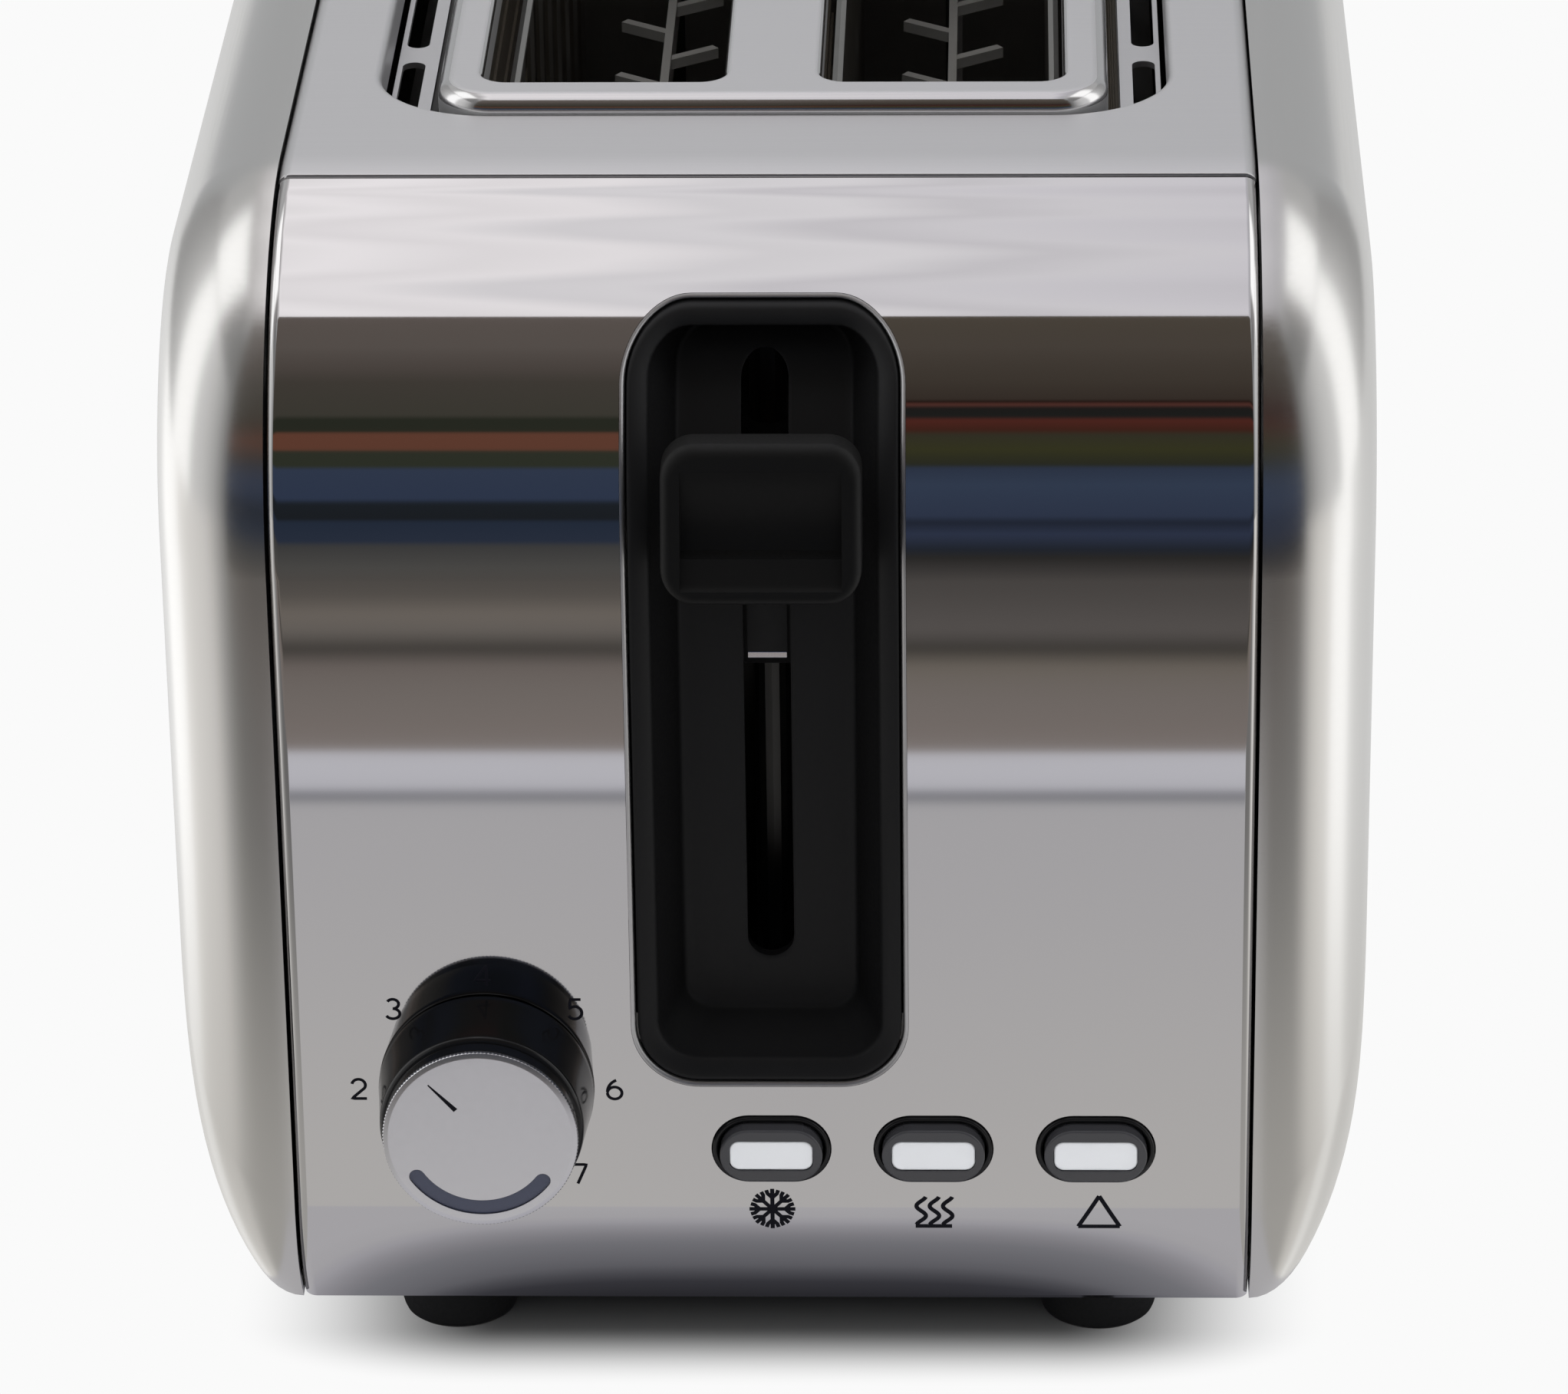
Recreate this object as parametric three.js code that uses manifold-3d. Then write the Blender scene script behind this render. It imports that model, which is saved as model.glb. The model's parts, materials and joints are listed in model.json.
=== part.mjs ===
// Four-slice long-slot toaster, in millimetres, +Z up, front towards -Y.
// The origin is on the table, under the centre of the bounding box.
// Places along Y are written as a depth behind the front panel's plane, and heights from the table;
// the whole model is moved by one offset at the end.

import * as THREE from 'three';
import { mergeVertices } from 'three/addons/utils/BufferGeometryUtils.js';
import Module from 'manifold-3d';

const wasm = await Module();
wasm.setup();

// Overall body
const bodyLength = 404;
const bodyWidth = 188;
const topHeight = 191.5;
const undersideHeight = 12;

// Clearances that every fit shares
const seatGap = 0.3;
const cutOverrun = 4;
const joinOverlap = 1;
const runningGap = 0.5;

// Rolled side casings
const casingRollWidth = 18;
const casingRollBottom = 34;
const casingSheet = 0.9;
const casingDrop = 1;

// Panels
const panelSheet = 1;
const bendRadius = 50;
const tuckRadius = 32;
const panelSeamDepth = 42;
const panelEdgeRadius = 2.2;
const panelEdgeTurn = 60;
const seamWidth = 0.6;

// Slots and the plate round them
const slotEndMargin = 75;
const slotWeb = 14.8;
const topLand = 12.9;
const slotCornerRadius = 4;
const plateRim = 7.1;
const plateEndRim = 7.4;
const plateRise = 2.5;
const plateCornerRadius = 9;
const plateEdgeRadius = 2.2;
const plateSkirt = 9.5;
const plateLip = 6;

// Opening in the top panel and the vent strips in it
const openingSideGap = 9.6;
const openingCornerRadius = 18;
const openingFold = 6;
const ventDrop = 6.8;
const ventSheet = 1;
const ventPlateGap = 1.8;
const ventHoleInset = 2.1;
const ventHoleWidth = 3.7;
const ventHoleLength = 30;
const ventBridge = 6.5;

// Lever well
const wellWidth = 42;
const wellBottom = 54.5;
const wellTopMargin = 11.3;
const wellCornerRadius = 10;
const wellDepth = 12;
const wellWall = 2;
const wellRim = 0.6;
const wellLip = 3;
const wellLipDepth = 2;
const wellDraft = 3.4;
const wellMesh = 11;
const slitWidth = 7.3;
const slitBottomMargin = 16.2;
const slitTopMargin = 12.2;

// Lever and carriage
const leverDrop = 37.5;
const leverLift = 10;
const knobWidth = 30.5;
const knobHeight = 23.4;
const knobProud = 12;
const knobThickness = 13;
const knobLean = 7;
const knobTaper = 1.6;
const knobCorner = 5;
const knobRim = 3;
const knobDish = 4;
const tongueWidth = 5;
const tongueHeight = 9;
const tongueDrop = 5.5;
const tongueReach = 5;
const tongueStop = 3.3;
const carriageSheet = 1.5;
const carriageFace = 28;
const carriageWidth = 30;
const carriageFlange = 12;
const flangeRise = 3.8;
const guideRodRadius = 3;
const guideRodDepth = 37;
const guideRodDrop = 9.2;
const collarRadius = 6;
const collarHeight = 7;

// Bread racks
const rackDrop = 79.5;
const rackBarHeight = 7;
const rackBarWidth = 1.6;
const rackFingerReach = 8.9;
const rackFingerPitch = 14;
const rackFingerWidth = 2;
const rackFingerAngle = 35 * Math.PI / 180;

// Bread guards
const guardHinge = 38;
const guardDrop = 21.5;
const guardRail = 1.9;
const guardWire = 1.4;
const guardPitch = 25;

// Chassis
const chassisSheet = 1.2;
const chassisSetback = 6;
const chassisFoot = 12;
const chassisBottom = 30;
const chassisDrop = 13.5;
const reflectorGap = 6.5;
const reflectorLean = 4;
const boardThickness = 1;
const boardBottom = 46;
const boardDrop = 20;
const ribbonWidth = 3;
const ribbonThickness = 0.5;
const ribbonPitch = 11;
const middleBoardGap = 2.6;

// Browning dial
const dialInset = 31.2;
const dialHeight = 53.2;
const dialBaseRadius = 17;
const dialTopRadius = 15.7;
const dialCapRadius = 15.3;
const dialProud = 16.5;
const dialCapHeight = 3.4;
const dialChamfer = 0.6;
const dialKnurlDepth = 0.25;
const dialRecess = 6;
const dialBackWall = 2;
const dialShaftRadius = 3;
const dialGrooveRadius = 12;
const dialGrooveWidth = 2.5;
const dialGrooveDepth = 0.8;
const dialGrooveStart = 211 * Math.PI / 180;
const dialGrooveEnd = 325 * Math.PI / 180;
const dialPointerInner = 6.4;
const dialPointerOuter = 12.4;
const dialPointerWidth = 0.8;
const dialPointerAngle = 127 * Math.PI / 180;
const dialKnurlCount = 36;

// Buttons
const buttonHeight = 42.6;
const buttonEndInset = 24.8;
const buttonGap = 6.6;
const buttonTall = 12;
const bezelWall = 0.8;
const bezelProud = 0.5;
const buttonProud = 2.6;
const buttonTravel = 1.5;
const buttonFrameWall = 2.1;
const buttonFrameEnd = 1.5;
const lensRecess = 0.5;
const lensCorner = 1.6;
const buttonChamfer = 0.5;
const buttonFloor = 2;
const buttonStemRadius = 2;
const buttonBodyDepth = 9;
const switchSize = 6;
const switchDepth = 5;
const switchStem = 1.5;
const switchStemRadius = 1.6;

// Control board and what it carries
const controlBoardDepth = 20;
const controlBoardThickness = 1.6;
const controlBoardInset = 10;
const controlBoardBottom = 24;
const controlBoardTop = 50;
const dialWingTop = 66;
const potWidth = 17;
const potDepth = 8;
const potBush = 4;
const potBushWall = 1.6;
const potSocket = 2;
const boardPostInset = 8;
const boardPostSize = 8;

// Magnet that holds the carriage down
const magnetX = 20;
const magnetDepth = 44;
const magnetHeight = 24;
const magnetWidth = 20;
const magnetCoreThickness = 8;
const magnetPole = 5;
const coilWall = 3;
const armatureThickness = 2.5;

// Return spring
const springX = -13;
const springDepth = 37;
const springCoilRadius = 3.6;
const springWire = 1;
const springTurns = 14;
const stepsPerTurn = 8;
const wireSides = 5;

// Base pan, crumb tray, feet
const baseFloor = 2;
const baseWall = 2;
const baseWallHeight = 9;
const baseInset = 0.6;
const trayPegGap = 1.9;
const trayFloor = 1;
const trayWall = 6;
const trayHeight = 18;
const trayFront = 70;
const trayMouthWall = 2.4;
const trayLipThickness = 2.5;
const trayLipDrop = 3;
const trayPullWidth = 40;
const trayPullThickness = 4;
const trayProud = 6.5;
const rodBossHeight = 8;
const rodBossWall = 3;
const runnerWidth = 4;
const runnerInset = 6;
const footInset = 24;
const footFront = 25;
const footTopRadius = 12;
const footBottomRadius = 9;
const footChamfer = 1;
const footShoulder = 3;
const footHeight = undersideHeight - seatGap;
const screwHeadRadius = 3.4;
const screwHeadHeight = 1.8;
const screwShankRadius = 1.5;
const screwSlotWidth = 0.8;
const chassisPegInset = 5;
const chassisPegSize = 6;

// Cord inlet in the rear panel
const glandInset = 14;
const glandHeight = 34;
const glandRadius = 7.5;
const glandBore = 3.6;
const glandFlange = 2;
const glandDepth = 12;

const roundSteps = 5;
const smallSteps = 2;
const buttonSteps = 4;

// Places worked out from the sizes above
const halfWidth = bodyWidth / 2;
const seamX = halfWidth - casingRollWidth;
const midDepth = bodyLength / 2;
const panelEdgeX = seamX - seamWidth / 2;
const slotWidth = seamX - topLand - openingSideGap - plateRim - slotWeb / 2;
const slotLength = bodyLength - slotEndMargin * 2;
const slotCentreX = (slotWeb + slotWidth) / 2;
const slotFront = midDepth - slotLength / 2;
const slotBack = midDepth + slotLength / 2;
const plateHalfWidth = slotWeb / 2 + slotWidth + plateRim;
const plateFront = slotFront - plateEndRim;
const openingHalfWidth = plateHalfWidth + openingSideGap;
const openingFront = plateFront - seamWidth;
const wellTop = topHeight - wellTopMargin;
const slitBottom = wellBottom + slitBottomMargin;
const slitTop = wellTop - slitTopMargin;
const leverRestHeight = topHeight - leverDrop;
const tongueBottom = leverRestHeight - tongueDrop - tongueHeight / 2;
const tongueTop = tongueBottom + tongueHeight;
const leverTravel = tongueBottom - slitBottom - tongueStop;
const rackRestHeight = topHeight - rackDrop;
const flangeHeight = rackRestHeight + flangeRise;
const guideRodTop = wellTop - guideRodDrop;
const guardTop = topHeight - guardDrop;
const chassisTop = topHeight - chassisDrop;
const boardHeight = chassisTop - boardDrop - boardBottom;
const dialX = dialInset - seamX;
const buttonSpacing = (seamX - buttonEndInset) / 2;
const buttonWidth = buttonSpacing - buttonGap;
const controlBoardWidth = (seamX - controlBoardInset) * 2;
const footX = seamX - footInset;
const glandX = seamX - glandInset;
const chassisFront = slotFront - chassisSetback;
const chassisBack = slotBack + chassisSetback;
const frontMost = -dialProud;
const rearMost = bodyLength + trayProud;
const originDepth = (frontMost + rearMost) / 2;
const leverKnobBack = knobThickness - knobProud;
const behindFrontPlate = chassisFront + chassisSheet + seatGap;
const beforeRearPlate = bodyLength - behindFrontPlate;

// Solids

function toSolid(geometry) {
  const bare = geometry.index ? geometry.toNonIndexed() : geometry;
  bare.deleteAttribute('normal');
  bare.deleteAttribute('uv');
  const merged = mergeVertices(bare, 1e-4);
  return new wasm.Manifold(new wasm.Mesh({
    numProp: 3,
    vertProperties: merged.attributes.position.array,
    triVerts: new Uint32Array(merged.index.array),
  }));
}

function toGeometry(solid) {
  const mesh = solid.getMesh();
  const geometry = new THREE.BufferGeometry();
  geometry.setAttribute('position', new THREE.BufferAttribute(mesh.vertProperties, 3));
  geometry.setIndex(new THREE.BufferAttribute(mesh.triVerts, 1));
  geometry.computeVertexNormals();
  return geometry;
}

const join = (solids) => solids.reduce((whole, next) => whole.add(next));
const cut = (solid, tools) => tools.reduce((rest, tool) => rest.subtract(tool), solid);

function box(x0, x1, y0, y1, z0, z1) {
  const geometry = new THREE.BoxGeometry(x1 - x0, y1 - y0, z1 - z0);
  geometry.translate((x0 + x1) / 2, (y0 + y1) / 2, (z0 + z1) / 2);
  return toSolid(geometry);
}

// A cylinder along Z from z0 to z1.
function post(x, y, z0, z1, radius, sides = 16, topRadius = radius) {
  const geometry = new THREE.CylinderGeometry(topRadius, radius, z1 - z0, sides);
  geometry.rotateX(Math.PI / 2);
  geometry.translate(x, y, (z0 + z1) / 2);
  return toSolid(geometry);
}

// A cylinder along Y from y0 to y1.
function pin(x, z, y0, y1, radius, sides = 16) {
  const geometry = new THREE.CylinderGeometry(radius, radius, y1 - y0, sides);
  geometry.translate(x, (y0 + y1) / 2, z);
  return toSolid(geometry);
}

function roundedOutline(halfX, halfY, radius) {
  const shape = new THREE.Shape();
  const r = Math.min(radius, halfX, halfY);
  shape.moveTo(-halfX + r, -halfY);
  shape.lineTo(halfX - r, -halfY);
  shape.absarc(halfX - r, -halfY + r, r, -Math.PI / 2, 0);
  shape.lineTo(halfX, halfY - r);
  shape.absarc(halfX - r, halfY - r, r, 0, Math.PI / 2);
  shape.lineTo(-halfX + r, halfY);
  shape.absarc(-halfX + r, halfY - r, r, Math.PI / 2, Math.PI);
  shape.lineTo(-halfX, -halfY + r);
  shape.absarc(-halfX + r, -halfY + r, r, Math.PI, Math.PI * 1.5);
  return shape;
}

// A rounded slab lying in the XY plane, from z0 to z1.
function slab(x, y, halfX, halfY, radius, z0, z1, steps = roundSteps) {
  const shape = roundedOutline(halfX, halfY, radius);
  const geometry = new THREE.ExtrudeGeometry(shape, { depth: z1 - z0, bevelEnabled: false, curveSegments: steps });
  geometry.translate(x, y, z0);
  return toSolid(geometry);
}

// A rounded slab standing in the XZ plane, from y0 to y1.
function upright(x, z, halfX, halfZ, radius, y0, y1, steps = roundSteps) {
  const shape = roundedOutline(halfX, halfZ, radius);
  const geometry = new THREE.ExtrudeGeometry(shape, { depth: y1 - y0, bevelEnabled: false, curveSegments: steps });
  geometry.rotateX(Math.PI / 2);
  geometry.translate(x, y1, z);
  return toSolid(geometry);
}

// A closed outline in the YZ plane, given as [depth, height] pairs, drawn out from x0 to x1.
function drawnAcross(points, x0, x1) {
  const shape = new THREE.Shape(points.map(([y, z]) => new THREE.Vector2(y, z)));
  const geometry = new THREE.ExtrudeGeometry(shape, { depth: x1 - x0, bevelEnabled: false });
  geometry.rotateY(Math.PI / 2);
  geometry.rotateX(Math.PI / 2);
  geometry.translate(x0, 0, 0);
  return toSolid(geometry);
}

// A closed outline in the XZ plane, given as [x, z] pairs, drawn out from y0 to y1.
function drawnAlong(points, y0, y1) {
  const shape = new THREE.Shape(points.map(([x, z]) => new THREE.Vector2(x, z)));
  const geometry = new THREE.ExtrudeGeometry(shape, { depth: y1 - y0, bevelEnabled: false });
  geometry.rotateX(Math.PI / 2);
  geometry.translate(0, y1, 0);
  return toSolid(geometry);
}

// A solid through rings with equal numbers of points, closed by flat ends.
function loft(rings) {
  const count = rings[0].length;
  const positions = rings.flat().flatMap((p) => [p.x, p.y, p.z]);
  const faces = [];
  for (let ring = 0; ring + 1 < rings.length; ring += 1) {
    for (let i = 0; i < count; i += 1) {
      const a = ring * count + i;
      const b = ring * count + (i + 1) % count;
      faces.push(a, b, b + count, a, b + count, a + count);
    }
  }
  const capOf = (ring, flip) => {
    const flat = ring.map((p) => new THREE.Vector2(p.y, p.z));
    return THREE.ShapeUtils.triangulateShape(flat, []).map((tri) => (flip ? [tri[2], tri[1], tri[0]] : tri));
  };
  const last = (rings.length - 1) * count;
  const lastCap = capOf(rings[rings.length - 1], false).flat().map((i) => i + last);
  const firstCap = capOf(rings[0], true).flat();
  const geometry = new THREE.BufferGeometry();
  geometry.setAttribute('position', new THREE.Float32BufferAttribute(positions, 3));
  geometry.setIndex([...faces, ...lastCap, ...firstCap]);
  return toSolid(geometry);
}

const mirrorX = (solid) => solid.mirror([1, 0, 0]);
const endForEnd = (solid) => solid.mirror([0, 1, 0]).translate([0, bodyLength, 0]);

// Points of a quadratic curve, without its first point.
function curvePoints(start, corner, end, steps) {
  const curve = new THREE.QuadraticBezierCurve(
    new THREE.Vector2(...start), new THREE.Vector2(...corner), new THREE.Vector2(...end));
  return curve.getPoints(steps).map((p) => [p.x, p.y]);
}

function arcPoints(centreY, centreZ, radius, from, to, steps) {
  const points = [];
  for (let i = 0; i <= steps; i += 1) {
    const angle = from + (to - from) * i / steps;
    points.push([centreY + radius * Math.cos(angle), centreZ + radius * Math.sin(angle)]);
  }
  return points;
}

// Body outline seen from the side. The front half runs from the bottom tuck to the top bend.
const bendSteps = 8;
const tuckSteps = 4;
const tuckRise = tuckRadius - undersideHeight + casingDrop;
const tuckRun = tuckRadius - Math.sqrt(tuckRadius ** 2 - tuckRise ** 2);
const tuckAngle = Math.asin(tuckRise / tuckRadius);
const tuckCorner = tuckRadius * Math.tan(tuckAngle / 2);
const tuckBottom = undersideHeight - casingDrop;

function frontPoints(offset, bottom = tuckBottom) {
  const reach = Math.asin(Math.min(1, (tuckRadius - bottom) / (tuckRadius - offset)));
  const tuck = arcPoints(tuckRadius, tuckRadius, tuckRadius - offset, Math.PI + reach, Math.PI, tuckSteps);
  const bendZ = topHeight - bendRadius;
  const bend = arcPoints(bendRadius, bendZ, bendRadius - offset, Math.PI, Math.PI / 2, bendSteps);
  return [...tuck, ...bend];
}

const mirrored = (points) => points.map(([y, z]) => [bodyLength - y, z]).reverse();

// The band between two offsets of the front's outline, cut off at a seam.
function panelBand(x0, x1, outer, inner) {
  const points = [...frontPoints(outer), ...frontPoints(inner).reverse()];
  return drawnAcross(points, x0, x1);
}

// Side casings

function casingRing(turn, offset) {
  const roll = casingRollWidth - offset;
  const inset = offset + roll * (1 - Math.cos(turn));
  const rise = 1 - Math.cos(turn);
  const bottom = tuckBottom + offset + (casingRollBottom - offset) * rise;
  const x = seamX + roll * Math.sin(turn);
  const cornerTop = bendRadius - inset;
  const tall = tuckRise + (casingRollBottom - tuckRise) * rise;
  const run = tuckRun + (casingRollBottom - tuckRun) * rise;
  const corner = (tuckRise - tuckCorner) * (1 - rise);
  const lower = curvePoints([inset + run, bottom], [inset, bottom + corner], [inset, bottom + tall], tuckSteps);
  const upper = arcPoints(bendRadius, topHeight - bendRadius, cornerTop, Math.PI, Math.PI / 2, bendSteps);
  const front = [...lower, ...upper];
  return [...front, ...mirrored(front)].reverse().map(([y, z]) => new THREE.Vector3(x, y, z));
}

function sideCasing() {
  const rollSteps = 6;
  const turns = Array.from({ length: rollSteps + 1 }, (_, i) => Math.PI / 2 * i / rollSteps);
  const outer = turns.map((turn) => casingRing(turn, 0));
  const inner = turns.map((turn) => casingRing(turn, casingSheet));
  const mouth = casingRing(0, casingSheet).map((p) => p.clone().setX(seamX - cutOverrun));
  return loft(outer).subtract(loft([mouth, ...inner]));
}

// Front, top and rear panels

// A panel drawn across the body, with its side edges rolled back. pointsAt gives its side outline,
// [depth, height] pairs, at a distance behind the surface.
function rolledPanel(pointsAt) {
  const edgeSteps = 2;
  const turn = THREE.MathUtils.degToRad(panelEdgeTurn);
  const edge = Array.from({ length: edgeSteps + 1 }, (_, i) => turn * (edgeSteps - i) / edgeSteps);
  const places = edge.map((angle) => [
    panelEdgeRadius * (Math.sin(turn) - Math.sin(angle)) - panelEdgeX, panelEdgeRadius * (1 - Math.cos(angle))]);
  const stations = [...places, ...places.map(([x, inward]) => [-x, inward]).reverse()];
  return loft(stations.map(([x, inward]) => {
    const outline = [...pointsAt(inward), ...pointsAt(inward + panelSheet).reverse()];
    return outline.reverse().map(([y, z]) => new THREE.Vector3(x, y, z));
  }));
}

function wellOutline(inset, y0, y1) {
  const halfZ = (wellTop - wellBottom) / 2 - inset;
  return upright(0, (wellTop + wellBottom) / 2, wellWidth / 2 - inset, halfZ, wellCornerRadius - inset, y0, y1);
}

const buttonXs = [0, buttonSpacing, buttonSpacing * 2];

function frontPanel() {
  const sheet = rolledPanel((inward) => frontPoints(inward));
  const behindSeam = box(-halfWidth, halfWidth, panelSeamDepth - seamWidth / 2, bodyLength, 0, topHeight + cutOverrun);
  const holes = buttonXs.map((x) => upright(
    x, buttonHeight, buttonWidth / 2, buttonTall / 2, buttonTall / 2, -cutOverrun, panelSheet + cutOverrun));
  const shaftHole = pin(dialX, dialHeight, -cutOverrun, panelSheet + cutOverrun, dialShaftRadius + runningGap);
  return cut(sheet, [behindSeam, wellOutline(0, -cutOverrun, bendRadius), shaftHole, ...holes]);
}

function topPanel() {
  const start = panelSeamDepth + seamWidth / 2;
  const bendPoints = (inward) => frontPoints(inward).slice(tuckSteps + 1);
  const arch = rolledPanel((inward) => [...bendPoints(inward), ...mirrored(bendPoints(inward))]);
  const keep = box(-halfWidth, halfWidth, start, bodyLength - start, topHeight - bendRadius, topHeight + cutOverrun);
  const halfY = midDepth - openingFront;
  const fold = slab(0, midDepth, openingHalfWidth + panelSheet, halfY + panelSheet,
    openingCornerRadius + panelSheet, topHeight - openingFold, topHeight - panelSheet / 2);
  const opening = slab(0, midDepth, openingHalfWidth, halfY, openingCornerRadius,
    topHeight - openingFold - cutOverrun, topHeight + cutOverrun);
  return arch.intersect(keep).add(fold).subtract(opening);
}

const reflectorX = plateHalfWidth + reflectorGap;
const chassisPegX = reflectorX - chassisPegInset;
const trayWidth = (chassisPegX - chassisPegSize / 2 - trayPegGap) * 2;
const trayMouthHalf = trayWidth / 2 + trayMouthWall;
const trayMouthBottom = trayHeight - seatGap * 4;
const trayMouthTop = trayHeight + trayWall + runningGap * 2;

function rearPanel() {
  const sheet = endForEnd(rolledPanel((inward) => frontPoints(inward)));
  const seam = bodyLength - panelSeamDepth + seamWidth / 2;
  const aheadOfSeam = box(-halfWidth, halfWidth, 0, seam, 0, topHeight + cutOverrun);
  const mouth = box(-trayMouthHalf, trayMouthHalf, bodyLength - bendRadius, bodyLength + cutOverrun,
    0, trayMouthTop);
  const inlet = pin(glandX, glandHeight, bodyLength - bendRadius, bodyLength + cutOverrun, glandRadius - glandFlange);
  return cut(sheet, [aheadOfSeam, mouth, inlet]);
}

// Slot plate, with a rounded edge, a skirt round it and a lip round each slot

function slotPlate() {
  const halfY = midDepth - plateFront;
  const top = topHeight + plateRise;
  const edgeSteps = 2;
  const layers = [];
  for (let i = 0; i < edgeSteps; i += 1) {
    const low = Math.PI / 2 * i / edgeSteps;
    const high = Math.PI / 2 * (i + 1) / edgeSteps;
    const inset = plateEdgeRadius * (1 - (Math.cos(low) + Math.cos(high)) / 2);
    layers.push(slab(0, midDepth, plateHalfWidth - inset, halfY - inset, plateCornerRadius - inset,
      top - plateSkirt, top - plateEdgeRadius * (1 - Math.sin(high))));
  }
  const hollow = slab(0, midDepth, plateHalfWidth - panelSheet, halfY - panelSheet, plateCornerRadius - panelSheet,
    top - plateSkirt - cutOverrun, top - panelSheet * 2);
  const slotHalf = slotWidth / 2;
  const lips = [-slotCentreX, slotCentreX].map((x) => slab(x, midDepth, slotHalf + panelSheet,
    slotLength / 2 + panelSheet, slotCornerRadius + panelSheet, top - plateLip, top - panelSheet, smallSteps));
  const slots = [-slotCentreX, slotCentreX].map((x) => slab(x, midDepth, slotHalf, slotLength / 2,
    slotCornerRadius, top - plateSkirt - cutOverrun, top + cutOverrun, smallSteps));
  return cut(join([join(layers).subtract(hollow), ...lips]), slots);
}

function ventStrip() {
  const inner = plateHalfWidth + ventPlateGap;
  const outer = openingHalfWidth - seatGap;
  const z1 = topHeight - ventDrop;
  const halfLength = midDepth - openingFront - openingCornerRadius / 2;
  const pitch = ventHoleLength + ventBridge;
  const count = Math.floor((halfLength * 2 - ventBridge) / pitch);
  const holes = [];
  for (let i = 0; i < count; i += 1) {
    const y = midDepth + (i - (count - 1) / 2) * pitch;
    holes.push(slab(inner + ventHoleInset + ventHoleWidth / 2, y, ventHoleWidth / 2, ventHoleLength / 2,
      ventHoleWidth / 2, z1 - ventSheet - cutOverrun, z1 + cutOverrun, smallSteps));
  }
  const strip = box(inner, outer, midDepth - halfLength, midDepth + halfLength, z1 - ventSheet, z1);
  const flange = box(inner, inner + ventSheet, midDepth - halfLength, midDepth + halfLength, z1 - openingFold, z1);
  return cut(strip.add(flange), holes);
}

// Lever well: a moulded tub that follows the panel's bend, with a slit in its floor

// The depth of the panel's outline at a height, for an offset behind its surface.
function panelDepth(z, offset) {
  const rise = Math.max(0, z - (topHeight - bendRadius));
  return bendRadius - Math.sqrt((bendRadius - offset) ** 2 - rise ** 2);
}

// A solid through rings that follow one another along Y, given as [x, y, z] points.
function loftAlong(rings) {
  return loft(rings.map((ring) => ring.map(([x, y, z]) => new THREE.Vector3(y, -x, z)).reverse())).rotate([0, 0, 90]);
}

function wellRing(inset, depth) {
  const radius = wellCornerRadius - Math.min(inset, wellCornerRadius / 2);
  const middle = (wellTop + wellBottom) / 2;
  const outline = roundedOutline(wellWidth / 2 - inset, (wellTop - wellBottom) / 2 - inset, radius);
  return outline.getPoints(roundSteps).map((p) => [p.x, depth, p.y + middle]);
}

// The well's inside, drawn flat with a sloping lip and drafted walls, then laid on the panel's bend.
function wellPocket() {
  const lipInset = wellRim + wellLip;
  const flat = loftAlong([
    wellRing(wellRim, -cutOverrun), wellRing(wellRim, seatGap), wellRing(lipInset, wellLipDepth),
    wellRing(lipInset + wellDraft, wellDepth),
  ]);
  return flat.refineToLength(wellMesh).warp((point) => {
    point[1] = panelDepth(point[2], point[1]);
  });
}

function leverWell() {
  const block = wellOutline(seatGap, -cutOverrun, bendRadius);
  const tub = block.intersect(panelBand(-wellWidth, wellWidth, seatGap, wellDepth + wellWall));
  const slitMiddle = (slitBottom + slitTop) / 2;
  const slit = upright(0, slitMiddle, slitWidth / 2, (slitTop - slitBottom) / 2, slitWidth / 2, -cutOverrun, bendRadius);
  return cut(tub, [wellPocket(), slit]);
}

// Lever knob: a rounded pad with a raised rim, a dished face and a finger ledge

// How far forward the knob's face is at a height: it leans back towards its top.
function knobFace(z) {
  return -knobProud + knobLean * (z - leverRestHeight + knobHeight / 2) / knobHeight;
}

function knobRing(inset, depthAt) {
  const outline = roundedOutline(knobWidth / 2 - inset, knobHeight / 2 - inset, knobCorner).getPoints(roundSteps);
  return outline.map((p) => [p.x, depthAt(p.y + leverRestHeight), p.y + leverRestHeight]);
}

function leverKnob() {
  const body = loftAlong([
    knobRing(knobTaper, (z) => knobFace(z)), knobRing(knobTaper / 3, (z) => knobFace(z) + knobTaper / 3),
    knobRing(0, (z) => knobFace(z) + knobTaper), knobRing(0, () => leverKnobBack),
  ]);
  const ledgeZ = leverRestHeight - knobHeight / 6;
  const dishHalf = knobWidth / 2 - knobRim;
  const dishTop = leverRestHeight + knobHeight / 2 - knobRim;
  const dishBottom = leverRestHeight - knobHeight / 2 + knobRim;
  const front = -knobProud - cutOverrun;
  const hollowZ = (dishTop + ledgeZ) / 2;
  const step = knobDish / 4;
  const dish = drawnAcross([
    [front, dishTop], [knobFace(dishTop), dishTop], [knobFace(hollowZ) + knobDish / 2, hollowZ],
    [knobFace(ledgeZ) + knobDish, ledgeZ + step], [knobFace(ledgeZ) + knobDish, ledgeZ],
    [knobFace(ledgeZ) + knobDish / 3, ledgeZ], [knobFace(dishBottom) + knobDish / 3, dishBottom + step],
    [knobFace(dishBottom), dishBottom], [front, dishBottom],
  ], -dishHalf, dishHalf);
  const socket = box(-tongueWidth / 2 - seatGap, tongueWidth / 2 + seatGap, leverKnobBack - tongueReach,
    leverKnobBack + cutOverrun, tongueBottom - seatGap, tongueTop + seatGap);
  return cut(body, [dish, socket]);
}

// Carriage: face plate behind the slit, tongue through it, collars on the guide rod, flange under the racks

const carriageTop = tongueTop;

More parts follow.
